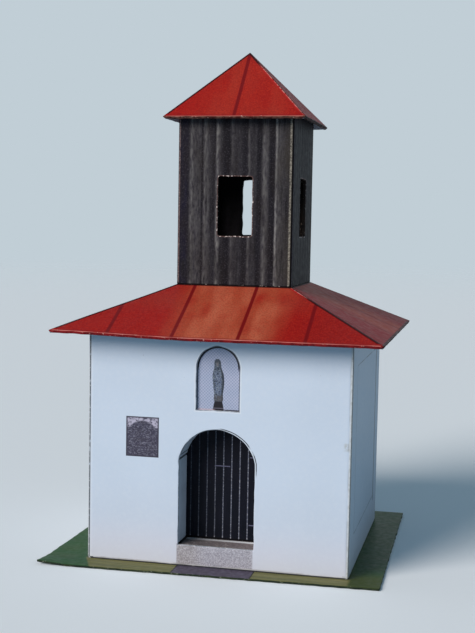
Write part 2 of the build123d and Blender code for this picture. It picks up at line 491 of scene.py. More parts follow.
@dataclass(frozen=True)
class FlatLay:
    """Lays a card on a plane: its face looks along the cross product of its two axes."""

    origin: Array
    along: Array
    up: Array

    def __call__(self, flat: Array, depth: Array) -> Array:
        """Adds the two axes, times a vertex's place on the card, and the depth inwards.

        Args:
            flat: Where each vertex is on the card.
            depth: How deep it is below the face.

        Returns:
            Its place in the model, in mm.
        """
        out = np.cross(self.along, self.up)
        return (
            np.asarray(self.origin, float)
            + flat[:, :1] * np.asarray(self.along, float)
            + flat[:, 1:] * np.asarray(self.up, float)
            - depth[:, None] * out
        )


# ---------------------------------------------------------------- materials
def linear(colour: str) -> tuple[float, float, float, float]:
    """Turns an sRGB hex colour into linear light with full alpha.

    Args:
        colour: The colour, such as "#c8d2e0".

    Returns:
        Red, green, blue and alpha.
    """
    values = (int(colour[i : i + 2], 16) / 255 for i in (1, 3, 5))
    red, green, blue = (v / 12.92 if v <= 0.04045 else ((v + 0.055) / 1.055) ** 2.4 for v in values)
    return red, green, blue, 1.0


def add_node(
    tree: bpy.types.NodeTree, kind: str, inputs: dict[Any, Any] | None = None, **settings: Any
) -> bpy.types.Node:
    """Adds a node, sets it up and feeds it.

    Args:
        tree: The node tree.
        kind: The node's type, without the ShaderNode that it starts with.
        inputs: What goes into each input, by name or number: a socket or a value.
        **settings: The node's own properties.

    Returns:
        The node.
    """
    node = tree.nodes.new("ShaderNode" + kind)
    for name, value in settings.items():
        setattr(node, name, value)
    for key, value in (inputs or {}).items():
        if isinstance(value, bpy.types.NodeSocket):
            tree.links.new(value, node.inputs[key])
        else:
            node.inputs[key].default_value = value
    return node


class Print:
    """A card's surface while it is being printed, ink over ink.

    Masks are sockets that run from 0 to 1. All distances are in mm: `across` and `up`
    are places on the card, `edge` is the way in from its nearest edge, and `space` is
    the model's own space for grain.
    """

    def __init__(self, name: str, colour: str) -> None:
        """Starts a material with one even colour.

        Args:
            name: The material's name.
            colour: The colour under all the inks.
        """
        self.material = bpy.data.materials.new(name)
        self.material.use_nodes = True
        self.tree = self.material.node_tree
        self.tree.nodes.clear()
        self.card = add_node(self.tree, "UVMap", uv_map=CARD_MAP).outputs[0]
        places = add_node(self.tree, "SeparateXYZ", {0: self.card}).outputs
        self.across, self.up = places[0], places[1]
        self.edge = add_node(self.tree, "Attribute", attribute_name=EDGE).outputs["Fac"]
        model = add_node(self.tree, "TexCoord").outputs["Object"]
        self.space = add_node(self.tree, "Mapping", {0: model, 3: (1000, 1000, 1000)}).outputs[0]
        self.colour: Any = linear(colour)
        self.height: Any = 0.0

    def band(self, value: Socket, low: float, high: float, soft: float = 0.06) -> Socket:
        """A mask for the places where a value lies between two limits.

        The value's distance from the middle of the band goes through a smooth step
        down from 1 to 0 around half the band's width.

        Args:
            value: The value, such as a distance in mm.
            low: The lower limit.
            high: The upper limit.
            soft: Over how much the mask fades at each limit.

        Returns:
            The mask.
        """
        middle = {0: value, 1: (low + high) / 2}
        off = add_node(self.tree, "Math", middle, operation="SUBTRACT").outputs[0]
        size = add_node(self.tree, "Math", {0: off}, operation="ABSOLUTE").outputs[0]
        limits = {0: size, 1: (high - low - soft) / 2, 2: (high - low + soft) / 2, 3: 1.0, 4: 0.0}
        return add_node(self.tree, "MapRange", limits, interpolation_type="SMOOTHSTEP").outputs[0]

    def rows(
        self, value: Socket, first: float, pitch: float, width: float, soft: float = 0.06
    ) -> Socket:
        """A mask for lines at an even pitch: the value is folded back and forth, then banded.

        Args:
            value: The value that the lines are spaced along.
            first: Where one of the lines is.
            pitch: How far apart the lines are.
            width: How wide a line is.
            soft: Over how much the mask fades.

        Returns:
            The mask.
        """
        off = add_node(self.tree, "Math", {0: value, 1: first}, operation="SUBTRACT").outputs[0]
        half = {0: off, 1: pitch / 2}
        folded = add_node(self.tree, "Math", half, operation="PINGPONG").outputs[0]
        return self.band(folded, -width / 2, width / 2, soft)

    def panel(
        self, left: float, right: float, low: float, high: float, soft: float = 0.06
    ) -> Socket:
        """A mask for a rectangle on the card, from four limits in mm and a softness."""
        across = self.band(self.across, left, right, soft)
        return self.overlap(across, self.band(self.up, low, high, soft))

    def arch(self, middle: float, spring: float) -> Socket:
        """How far a place is from an arch's centre line below its spring, or its centre above.

        Args:
            middle: Where the arch's centre line is.
            spring: The height of its spring.

        Returns:
            The distance, the same all along a round-headed outline.
        """
        side, rise = (
            add_node(self.tree, "Math", {0: place, 1: start}, operation="SUBTRACT").outputs[0]
            for place, start in ((self.across, middle), (self.up, spring))
        )
        above = add_node(self.tree, "Math", {0: rise, 1: 0.0}, operation="MAXIMUM").outputs[0]
        pair = add_node(self.tree, "CombineXYZ", {0: side, 1: above}).outputs[0]
        return add_node(self.tree, "VectorMath", {0: pair}, operation="LENGTH").outputs["Value"]

    def overlap(self, *masks: Any) -> Any:
        """The product of any masks and strengths: it shows only where all of them do.

        Args:
            *masks: Masks and strengths from 0 to 1.

        Returns:
            The product as a mask, or the only strength given.
        """
        product = masks[0]
        for mask in masks[1:]:
            both = {0: product, 1: mask}
            product = add_node(self.tree, "Math", both, operation="MULTIPLY").outputs[0]
        return product

    def mottle(
        self,
        size: float,
        low: float = 0.4,
        high: float = 0.6,
        stretch: tuple[float, float] = (1.0, 1.0),
        detail: float = 2.0,
        seed: float = 0.0,
    ) -> Socket:
        """A mask of cloudy grain; stretched grain follows the card, the rest the model.

        Args:
            size: About how big a grain is, in mm.
            low: The noise level at which the mask is 0.
            high: The noise level at which it is 1.
            stretch: How many times longer a grain is across and up the card.
            detail: How much finer grain is added.
            seed: Moves the grain.

        Returns:
            The mask.
        """
        place = self.card if stretch != (1.0, 1.0) else self.space
        scale = (1 / size / stretch[0], 1 / size / stretch[1], 1 / size)
        start = (seed, seed * 1.7, seed * 0.6)
        moved = add_node(self.tree, "Mapping", {0: place, 1: start, 3: scale}).outputs[0]
        grains = {"Vector": moved, "Scale": 1.0, "Detail": detail}
        noise = add_node(self.tree, "TexNoise", grains)
        return add_node(self.tree, "MapRange", {0: noise.outputs[0], 1: low, 2: high}).outputs[0]

    def ink(self, colour: str, *masks: Any) -> None:
        """Lays a colour over what is there, as strongly as the masks' product says.

        Args:
            colour: The ink, as an sRGB hex colour.
            *masks: Masks and strengths from 0 to 1.
        """
        inputs = {0: self.overlap(*masks), MIX_A: self.colour, MIX_B: linear(colour)}
        self.colour = add_node(self.tree, "Mix", inputs, data_type="RGBA").outputs[MIX_COLOUR]

    def press(self, height: float, *masks: Any) -> None:
        """Raises the surface, or sinks it where the height is below 0.

        Args:
            height: How far, in mm.
            *masks: Masks and strengths from 0 to 1.
        """
        step = {0: self.overlap(*masks), 1: height, 2: self.height}
        self.height = add_node(self.tree, "Math", step, operation="MULTIPLY_ADD").outputs[0]

    def screen(self, colour: str, pitch: float, strength: float) -> None:
        """Lays the dot screen of a colour laser print: dots on a grid turned by 45 degrees.

        Args:
            colour: The dots' ink.
            pitch: How far apart the dots are.
            strength: How strongly they show.
        """
        turned = {0: self.card, 2: (0, 0, math.radians(45)), 3: (1 / pitch, 1 / pitch, 1)}
        grid = add_node(self.tree, "Mapping", turned).outputs[0]
        even = {"Vector": grid, "Scale": 1.0, "Randomness": 0.0}
        dots = add_node(self.tree, "TexVoronoi", even, voronoi_dimensions="2D").outputs[0]
        self.ink(colour, self.band(dots, -0.4, 0.4, 0.3), strength)

    def finish(
        self, roughness: float, gloss: float = 0.3, fibre: float = 0.004, wave: float = 0.02
    ) -> Material:
        """Turns the inks into the finished surface.

        Args:
            roughness: The surface's roughness.
            gloss: The specular level of the toner film, where 0.5 is plain plastic.
            fibre: The height of the paper's fibres, in mm.
            wave: The height of the slow waves in the sheet, in mm.

        Returns:
            The material.
        """
        if wave > 0:
            self.press(wave, self.mottle(14, 0.3, 0.7, detail=0, seed=3))
        # Paper fibres are 0.02 mm thick, too fine to show, so they are drawn 0.3 mm across.
        self.press(fibre, self.mottle(0.3, 0.25, 0.75, detail=3, seed=8))
        limits = {0: self.mottle(0.9, 0.35, 0.65, seed=6), 3: roughness - 0.06, 4: roughness + 0.06}
        relief = {"Height": self.height, "Distance": MM}
        surface = {
            "Base Color": self.colour,
            "Roughness": add_node(self.tree, "MapRange", limits).outputs[0],
            "IOR": 1.5,
            "Specular IOR Level": gloss,
            "Normal": add_node(self.tree, "Bump", relief).outputs[0],
        }
        shader = add_node(self.tree, "BsdfPrincipled", surface).outputs[0]
        add_node(self.tree, "OutputMaterial", {0: shader})
        return self.material


@dataclass(frozen=True)
class CutEdge:
    """The knife-cut edge of pulp card, gone over with a marker pen.

    The dye soaks in unevenly and misses the highest fibres, so the eye meets a dull dark
    line with pale specks, never a clean white one.

    Attributes:
        name: The material's name.
        pen: What the marker left, or the bare core of the card.
        second: A second coat of the pen, or the shade between the fibres.
        fibre: The colour of the fibres that stand out.
        share: How much of the edge the fibres take, from 0 to 1.
    """

    name: str
    pen: str
    second: str
    fibre: str
    share: float

    def make(self) -> Material:
        """Bundles of fibres 0.3 mm across show as pale specks over the pen's colour.

        Returns:
            The material.
        """
        p = Print(self.name, self.pen)
        p.ink(self.second, p.mottle(1.1, 0.42, 0.6, seed=4))
        level = 0.66 - self.share * 0.3
        p.ink(self.fibre, p.mottle(0.32, level, level + 0.08, detail=1, seed=5))
        return p.finish(0.75, gloss=0.15, fibre=0.01, wave=0)


@dataclass(frozen=True)
class BlackLining:
    """Card laser printed all over in black, for the inside of the tower.

    Fused toner is a dull, near-black film, so the windows look dark and deep.
    """

    name: str = "black_laser_print_lining"

    def make(self) -> Material:
        """Dull toner with faint upright streaks.

        Returns:
            The material.
        """
        p = Print(self.name, "#08080b")
        p.ink("#151318", p.mottle(1.2, 0.4, 0.7, stretch=(1, 6), seed=95))
        return p.finish(0.75, gloss=0.1)


@dataclass(frozen=True)
class BareCard:
    """Uncoated grey-white pulp board, pressed and left bare: the back of every sheet.

    It looks matt and faintly cloudy, with no sheen from any side.

    Attributes:
        name: The material's name.
        colour: The card's own colour.
    """

    name: str
    colour: str

    def make(self) -> Material:
        """Flocks of pulp 1.5 mm across and no gloss.

        Returns:
            The material.
        """
        p = Print(self.name, self.colour)
        p.ink("#8f8f92", p.mottle(1.5, 0.35, 0.7, seed=2), 0.12)
        return p.finish(0.85, gloss=0.2, fibre=0.008)


@dataclass(frozen=True)
class LiningCard:
    """White coated card, trimmed and bent round the doorway.

    It is smooth and a little soiled by the fingers that pushed it in, and its trimmed
    ends gape, so that a dark line shows at each.

    Attributes:
        name: The material's name.
        ends: Where its ends are along it.
    """

    name: str
    ends: tuple[float, float]

    def make(self) -> Material:
        """Slightly soiled white, with a dark line where each end meets the next strip.

        Returns:
            The material.
        """
        p = Print(self.name, "#c8d3e1")
        p.ink("#98a4b4", p.mottle(2.5, 0.4, 0.7, seed=15), 0.35)
        for end in self.ends:
            p.ink("#0d1013", p.band(p.across, end - 0.22, end + 0.22, 0.08))
            inner = end - math.copysign(0.72, end)
            p.ink("#14171b", p.band(p.across, inner - 0.1, inner + 0.1, 0.08), 0.9)
        return p.finish(0.55, gloss=0.3)


@dataclass(frozen=True)
class WhiteWash:
    """Coated white card, laser printed with a pale wash, for the chapel's walls.

    The coating gives an even, cool white with a soft sheen. What catches the eye on it is
    wear and painted shade: folds rubbed pale, scores painted dark as the shade in their
    grooves, a dark foot line that is part soiling and part painted shade, and pressed lines
    5 mm in from a wall's edges, where the flaps glued behind it end, with a soft band of
    painted shade near one end. The front wall also carries the stone riser under the door
    and a bare tablet.

    Attributes:
        side: The way the wall faces.
        height: The wall's height.
        half: Half its length.
        sill: The top of the riser.
    """

    side: Side
    height: float
    half: float
    sill: float

    def make(self) -> Material:
        """A cool white that greys towards the foot, with handling marks along the edges and a dark
        foot line, part soiling and part painted shade.

        Returns:
            The material.
        """
        p = Print(f"laser_printed_white_card_{self.side.name.lower()}", "#c4d3e4")
        p.ink("#c2cfdf", p.band(p.up, -20, 11, 8))
        p.ink("#cbcfdc", p.band(p.up, -20, 5, 7), 0.8)
        p.ink("#adbdcd", p.mottle(11, 0.4, 0.8, detail=1, seed=2), 0.2)
        p.ink("#d3dce6", p.mottle(0.6, 0.45, 0.7, detail=2, seed=9), 0.15)
        if self.side is Side.FRONT:
            self._riser(p)
            self._tablet(p)
            self._door_marks(p)
            self._niche_marks(p)
        else:
            self._pressed_lines(p)
        self._folds(p)
        p.ink("#8b8c8a", p.band(p.up, -1, 0.36, 0.2), p.mottle(2.4, 0.3, 0.55, seed=24), 0.8)
        p.ink("#c9ccd0", p.band(p.up, 0.19, 0.33, 0.08), p.mottle(3.0, 0.42, 0.6, seed=14), 0.6)
        # The dark line at the foot is partly soiling and partly painted shade where the wall meets
        # the base.
        p.ink("#22242a", p.band(p.up, -1, 0.2, 0.08), p.mottle(1.6, 0.16, 0.32, seed=4), 0.95)
        p.ink("#6c727a", p.mottle(0.6, 0.79, 0.82, seed=34), 0.8)
        return p.finish(0.5, gloss=0.3)

    def _folds(self, p: Print) -> None:
        """Worn pale folds; the score is painted dark on the left as shade in its groove, with pale
        nicks, and faint on the right.

        Args:
            p: The print that they are laid on.
        """
        left, right = (
            p.band(p.across, fold - 0.9, fold + 0.9, 0.05) for fold in (-self.half, self.half)
        )
        p.ink("#d3dadf", left, p.band(p.edge, -0.1, 0.12, 0.06), 0.9)
        # The scored groove on the left is painted dark as the shade that falls in it, with pale
        # nicks.
        score = p.overlap(left, p.band(p.edge, 0.12, 0.3, 0.08))
        p.ink("#40474f", score, p.mottle(0.7, 0.2, 0.42, seed=7), 0.95)
        p.ink("#c3c9cd", score, p.mottle(0.34, 0.62, 0.68, seed=17), 0.8)
        p.ink("#d4dbe2", left, p.band(p.edge, 0.3, 0.42, 0.06), 0.5)
        strip = p.overlap(right, p.band(p.edge, 0.08, 0.32, 0.08))
        p.ink("#bcc4c8", strip, 0.85)
        p.ink("#8f9590", strip, p.mottle(0.9, 0.46, 0.62, seed=37), 0.45)
        shade = p.overlap(right, p.band(p.edge, 0.32, 0.44, 0.06))
        p.ink("#8b9298", shade, p.mottle(2.2, 0.3, 0.6, seed=38), 0.5)
        brink = p.overlap(right, p.band(p.edge, -0.1, 0.14, 0.06))
        p.ink("#4d5150", brink, p.mottle(1.4, 0.1, 0.35, seed=6), 0.9)

    def _riser(self, p: Print) -> None:
        """Granite: grains of grey, pink and near black, 0.15 mm across.

        Args:
            p: The print that they are laid on.
        """
        riser = p.overlap(p.band(p.across, -5.92, 5.68, 0.3), p.band(p.up, -1, self.sill + 0.2))
        p.ink("#9d9ea9", riser)
        p.ink("#8f8a87", riser, p.band(p.across, -9, -2.6, 3.0), 0.6)
        p.ink("#dcdce6", riser, p.mottle(0.15, 0.46, 0.6, detail=1, seed=12), 0.4)
        p.ink("#75707b", riser, p.mottle(0.15, 0.5, 0.62, detail=1, seed=11), 0.45)
        p.ink("#4d4a54", riser, p.mottle(0.16, 0.64, 0.7, detail=1, seed=13), 0.4)

    def _tablet(self, p: Print) -> None:
        """A bare dark stone tablet with an arched field and pale spandrels.

        Args:
            p: The print that they are laid on.
        """
        left, right, low, high = -14.06, -8.95, 16.18, 22.25
        p.ink("#33303f", p.panel(left, right, low, high))
        field = p.panel(left + 0.22, right - 0.22, low + 0.22, high - 0.22)
        p.ink("#3c3b50", field)
        p.ink("#343145", field, p.band(p.up, low - 4, low + 3.0, 3.4), 0.7)
        p.ink("#8a8c9c", field, p.mottle(0.13, 0.46, 0.64, stretch=(2, 1), detail=1, seed=21), 0.56)
        p.ink("#262433", field, p.mottle(0.14, 0.5, 0.66, stretch=(2, 1), detail=1, seed=22), 0.8)
        p.ink("#33313f", field, p.mottle(0.8, 0.5, 0.7, stretch=(2, 1), seed=24), 0.6)
        reach = p.arch((left + right) / 2, high - 3.0)
        top = p.panel(left + 0.2, right - 0.2, high - 1.6, high - 0.2, 0.3)
        corners = p.overlap(top, p.band(reach, 2.4, 9, 0.3))
        p.ink("#b0aec2", corners, p.mottle(0.4, 0.34, 0.54, seed=23))

    def _door_marks(self, p: Print) -> None:
        """The printed line left outside the cut arch, and grey smudges beside the door.

        Args:
            p: The print that they are laid on.
        """
        arch = p.overlap(p.band(p.across, 0.5, 8.0, 1.6), p.band(p.up, 14.5, 21.9, 1.6))
        p.ink("#363e47", p.band(p.edge, 0.14, 0.3, 0.06), arch, p.mottle(1.6, 0.3, 0.45, seed=31))
        left = p.overlap(p.band(p.across, -6.2, 1.5, 1.6), p.band(p.up, 15.5, 21.5, 1.2))
        p.ink("#3f4852", p.band(p.edge, -0.1, 0.12, 0.07), left, p.mottle(1.6, 0.28, 0.45, seed=32))
        p.ink("#d5dde3", p.band(p.edge, 0.07, 0.16, 0.04), arch, 0.5)
        by_door = p.overlap(p.band(p.across, 5.95, 6.5, 0.2), p.band(p.up, 3.3, 13.5, 2.0))
        p.ink("#5f666f", by_door, p.mottle(0.5, 0.7, 0.74, seed=33))
        thumb = p.panel(18.95, 19.7, 18.9, 19.95, 0.5)
        p.ink("#a3a7a4", thumb, p.mottle(0.5, 0.3, 0.5, seed=36), 0.7)

    def _niche_marks(self, p: Print) -> None:
        """A grey cut line round the niche with a pale burr outside it.

        Args:
            p: The print that they are laid on.
        """
        around = p.panel(-4.1, 4.1, 22.9, 34.1, 0.1)
        p.ink("#6a727d", p.band(p.edge, -0.1, 0.08, 0.06), around, p.mottle(1.4, 0.3, 0.5, seed=35))
        p.ink("#dde4ea", p.band(p.edge, 0.12, 0.26, 0.08), around, 0.6)

    def _pressed_lines(self, p: Print) -> None:
        """Where the flaps glued behind the wall end, it is pressed by 0.03 mm, with a band of
        painted shade near its end.

        Args:
            p: The print that they are laid on.
        """
        left, right, low, high = 5.1 - self.half, self.half - 5.1, 5.4, self.height - 5.5
        wide = 0.16
        p.press(0.03, p.panel(left, right, low, high, 0.5))
        both = {
            0: p.panel(left, right, low, high, 0.1),
            1: p.panel(left + wide, right - wide, low + wide, high - wide, 0.1),
        }
        line = add_node(p.tree, "Math", both, operation="SUBTRACT").outputs[0]
        shown = 1.0 if self.side is Side.RIGHT else 0.4
        p.ink("#5d6873", line, p.mottle(4, 0.25, 0.55, seed=41), 0.8 * shown)
        # A soft dark band 5 mm from the wall's end: painted shade of a slight bend there, strongest
        # on the right wall.
        bent = p.band(p.across, self.half - 5.5, self.half - 4.5, 0.5)
        p.ink("#4d5862", bent, p.band(p.up, 4.6, self.height - 4.6, 0.5), 0.7 * shown)


@dataclass(frozen=True)
class RoofPrint:
    """Coated card, laser printed as red sheet roofing with darker standing seams.

    The fused toner is a dense red with little gloss and a fine mottle, with soft
    orange-brown patches up the middle of the slope and painted shade towards its right
    end. Its hips are darkened with a marker, and on the front one the pen line is rubbed
    off to bare card.

    Attributes:
        name: The material's name.
        pitch: The spacing of the seams.
        first: Where one of the seams is.
        orange_patches: How strongly orange-brown patches and a browner upper band show on the
            slope.
        brink: The colour of the line along the eave.
        top: Half the length of its top edge.
        worn: From where to where up the slope the right hip's pen line is rubbed off.
        base: The red.
        rim: How wide the line along the eave is.
        grain: How strongly the dots of the print show.
    """

    name: str
    pitch: float
    first: float
    orange_patches: float
    brink: str
    top: float
    worn: tuple[float, float] | None
    base: str = "#931412"
    rim: float = 0.13
    grain: float = 1.0

    def make(self) -> Material:
        """Soft light patches run up the slope beside dark seams half a millimetre wide.

        Returns:
            The material.
        """
        p = Print(self.name, self.base)
        p.ink("#820f11", p.mottle(5, 0.4, 0.8, stretch=(1, 2), seed=53), 0.5)
        # Painted shade: the red darkens towards the slope's right end, where less light falls.
        p.ink("#7d1314", p.band(p.across, 12, 60, 8.0), 0.5)
        upper = p.band(p.up, 8.5, 30, 6.0)
        p.ink("#8b3127", upper, p.mottle(6, 0.3, 0.6, seed=49), 0.6 * self.orange_patches)
        cloud = p.mottle(3.0, 0.15, 0.45, stretch=(1, 2), detail=1, seed=58)
        patch_mask = p.overlap(p.band(p.across, -6.6, 8.8, 5.0), cloud, self.orange_patches)
        p.ink("#a04a33", patch_mask)
        p.ink("#be6c50", patch_mask, p.mottle(3.4, 0.42, 0.72, stretch=(1, 3), detail=1, seed=51), 0.9)
        p.ink("#8a3426", patch_mask, p.mottle(4.2, 0.5, 0.8, stretch=(1, 3), detail=1, seed=50), 0.5)
        # Toner dots are 0.1 mm across, too fine to show, so they are drawn more than twice that.
        p.ink("#c23a26", p.mottle(0.24, 0.4, 0.7, detail=0, seed=52), 0.25 * self.grain)
        p.ink("#640d0c", p.mottle(0.22, 0.4, 0.7, detail=0, seed=57), 0.3 * self.grain)
        seams = p.rows(p.across, self.first, self.pitch, 0.54, 0.2)
        p.ink("#6a0a10", seams, p.band(p.across, -18, 18), 0.95)
        hips = p.overlap(p.band(p.up, 0.6, 99, 0.1), p.band(p.edge, -0.1, 0.32, 0.1))
        p.ink("#21060d", hips, 0.93)
        if self.worn:
            right = p.band(p.across, self.top, 99)
            worn = p.overlap(p.band(p.edge, -0.1, 0.4, 0.06), p.band(p.up, *self.worn, 2.0), right)
            p.ink("#9a1c1a", worn)
            bare = p.overlap(worn, p.band(p.edge, -0.1, 0.22, 0.06))
            p.ink("#d08f87", bare, p.mottle(0.5, 0.38, 0.54, seed=55), 0.7)
        eave = p.band(p.up, -1, self.rim, 0.05)
        p.ink("#75131a", p.band(p.up, 0.13, 0.42, 0.12), 0.5)
        p.ink(self.brink, eave, p.mottle(2.5, 0.2, 0.5, seed=54), 0.85)
        p.ink("#e3c3b6", eave, p.mottle(0.5, 0.66, 0.71, seed=56))
        return p.finish(0.5, gloss=0.08, fibre=0.0015 * self.grain, wave=0.01)


@dataclass(frozen=True)
class BoardPrint:
    """Coated card, laser printed as weathered upright boards.

    Nearly black toner takes a dull sheen, and the printed light along each board's edge
    gives it depth. Where the knife or a fold broke the film, pale card shows as specks.

    Attributes:
        name: The material's name.
        half: Half the wall's length.
        scored: Whether the wall's folds are scored on this side.
        strength: How strongly the boards show.
        shades: How light the boards are at places across the wall, from 0 to 1.
    """

    name: str
    half: float
    scored: bool = False
    strength: float = 1.0
    shades: tuple[tuple[float, float], ...] = (
        (-9.0, 0.1), (-7.4, 0.12), (-6.95, 0.62), (-6.6, 0.4), (-5.45, 0.34), (-5.2, 0.06),
        (-4.85, 0.6), (-4.4, 0.44), (-3.8, 0.2), (-3.2, 0.12), (-2.9, 0.78), (-2.65, 0.6),
        (-2.3, 0.28), (-1.7, 0.06), (-1.0, 0.05), (-0.55, 0.42), (-0.1, 0.24), (0.9, 0.2),
        (1.4, 0.07), (1.8, 0.1), (2.1, 0.5), (2.45, 0.22), (3.2, 0.22), (3.5, 0.06),
        (4.0, 0.12), (4.45, 0.6), (4.95, 0.42), (5.4, 0.08), (6.1, 0.07), (6.3, 0.95),
        (6.65, 0.4), (8.2, 0.14),
    )

    def make(self) -> Material:
        """Each board runs from a light edge through grey to a dark gap, with long grain.

        Returns:
            The material.
        """
        p = Print(self.name, "#0e0d14")
        ends = {0: p.across, 1: -self.half, 2: self.half, 3: 0.0, 4: 1.0}
        ramp = add_node(p.tree, "ValToRGB", {0: add_node(p.tree, "MapRange", ends).outputs[0]})
        elements = ramp.color_ramp.elements
        for number, (place, level) in enumerate(self.shades):
            share = (place / self.half + 1) / 2
            stop = elements[number] if number < 2 else elements.new(share)
            stop.position, stop.color = share, (level, level, level, 1.0)
        light = ramp.outputs[0]
        grain = p.mottle(0.28, 0.0, 0.6, stretch=(1, 2), detail=3, seed=60)
        p.ink("#524f57", light, grain, self.strength)
        bleached = p.mottle(0.42, 0.32, 0.7, stretch=(0.6, 2.4), detail=3, seed=61)
        p.ink("#b4b4ae", light, light, bleached, 0.85 * self.strength)
        blue = p.mottle(1.0, 0.3, 0.6, stretch=(1, 3), seed=59)
        p.ink("#14122b", p.band(p.across, -12, -7.5, 0.8), blue, 0.5)
        p.ink("#1f1a1a", p.mottle(1.4, 0.4, 0.7, stretch=(1, 5), seed=67), 0.5)
        brown = p.mottle(3.2, 0.3, 0.6, stretch=(1, 4), seed=62)
        p.ink("#45413a", p.band(p.across, 6.4, 12.0, 1.0), brown, 0.4)
        p.ink("#0a090d", p.mottle(0.5, 0.56, 0.7, stretch=(1, 16), seed=63), 0.6)
        p.ink("#504d54", p.mottle(0.2, 0.54, 0.68, seed=64), 0.35)
        self._wear(p)
        return p.finish(0.6, gloss=0.06)

    def _wear(self, p: Print) -> None:
        """Specks of bare card round the openings, worn folds that end dark, and a foot line of
        painted shade.

        Args:
            p: The print that they are laid on.
        """
        size = add_node(p.tree, "Math", {0: p.across}, operation="ABSOLUTE").outputs[0]
        inner = p.overlap(p.band(size, -1, self.half - 1.2, 0.05), p.band(p.up, 1.0, 23.0, 0.05))
        rim = p.overlap(p.band(p.edge, -0.1, 0.16, 0.08), inner)
        p.ink("#5c4643", rim, 0.8)
        p.ink("#d3c8c4", rim, p.mottle(0.4, 0.54, 0.6, seed=65))
        ends = p.band(size, self.half - 0.9, self.half + 9, 0.05)
        if self.scored:
            fold = p.band(p.across, self.half - 0.58, self.half - 0.28, 0.12)
            p.ink("#6f6b63", fold, p.mottle(0.9, 0.25, 0.5, seed=66), 0.75)
            p.ink("#a39f93", fold, p.mottle(0.18, 0.42, 0.62, seed=69), 0.6)
            p.ink("#09090c", p.band(p.across, self.half - 0.26, self.half + 1, 0.06), 0.95)
            left = p.band(p.across, 0.05 - self.half, 0.3 - self.half, 0.12)
            p.ink("#6f5d5d", left, p.mottle(1.5, 0.2, 0.5, seed=166), 0.75)
            p.ink("#a89793", left, p.mottle(0.2, 0.5, 0.64, seed=167), 0.5)
        p.ink("#09090c", p.band(p.edge, -0.1, 0.1, 0.06), ends, 0.9)
        # A near-black line at the foot: painted shade where the tower meets the roof, with specks
        # of bare card.
        foot = p.band(p.up, -1, 0.16, 0.1)
        p.ink("#08080a", foot, 0.8)
        p.ink("#8f8782", foot, p.mottle(0.5, 0.62, 0.68, seed=68))


@dataclass(frozen=True)
class LawnPrint:
    """Coated card, laser printed green in fine ruled lines, with a grey path to the door.

    This toner lies thickest and smoothest, so seen from low down the card takes a faint
    sheen, and its ruled lines give the green a mown look.

    Attributes:
        name: The material's name.
        left: The path's left side.
        right: The path's right side.
        back: Where the path ends, under the front wall.
    """

    name: str
    left: float = -5.74
    right: float = 5.9
    back: float = -17.5

    def make(self) -> Material:
        """A painted olive reflection of the wall along the front, green behind, streaks and rules
        across it, and the path.

        Returns:
            The material.
        """
        p = Print(self.name, "#1c4e28")
        p.ink("#35501f", p.mottle(7, 0.42, 0.66, seed=70), 0.5)
        slant = {0: p.up, 1: 0.45, 2: p.across}
        skew = add_node(p.tree, "Math", slant, operation="MULTIPLY_ADD").outputs[0]
        front = p.band(p.up, -40, -17.7, 0.8)
        p.ink("#454a20", p.band(p.up, -40, -14.5, 6.0), p.band(p.across, 19, 60, 3.0), 0.8)
        # Painted reflection of the white front wall: an olive band on the card in front of it.
        wall_reflection = p.overlap(front, p.band(skew, -28.3, 40, 0.4), p.band(p.across, -40, 20.2, 0.6))
        p.ink("#767347", wall_reflection, 0.9)
        p.ink("#98906a", wall_reflection, p.band(p.up, -19.4, -17, 1.4), 0.3)
        # Painted shade over the right part of the card, behind the front.
        p.ink("#173420", p.band(p.across, 19.8, 60, 2.0), p.band(p.up, -14, 60, 6.0), 0.6)
        p.ink("#4b4a35", p.mottle(2.2, 0.5, 0.7, stretch=(3, 1), detail=4, seed=75), 0.3)
        streaks = p.mottle(0.5, 0.42, 0.65, stretch=(14, 1), seed=71)
        p.ink("#16321f", streaks, 0.12)
        p.ink("#16321f", streaks, front, 0.25)
        p.ink("#5c6a3c", p.rows(p.up, 0.0, 0.6, 0.2, 0.14), 0.15)
        p.ink("#0f0f13", p.panel(self.left - 0.16, self.right + 0.16, -40, self.back))
        path = p.panel(self.left, self.right, -40, self.back)
        p.ink("#4f4a5a", path)
        p.ink("#635e70", path, p.mottle(0.6, 0.45, 0.65, seed=72), 0.7)
        p.ink("#3a3542", path, p.mottle(0.45, 0.56, 0.68, seed=73), 0.7)
        p.ink("#b9b6b0", p.band(p.edge, -0.1, 0.1, 0.08), p.mottle(0.6, 0.7, 0.74, seed=74))
        return p.finish(0.42, gloss=0.08)


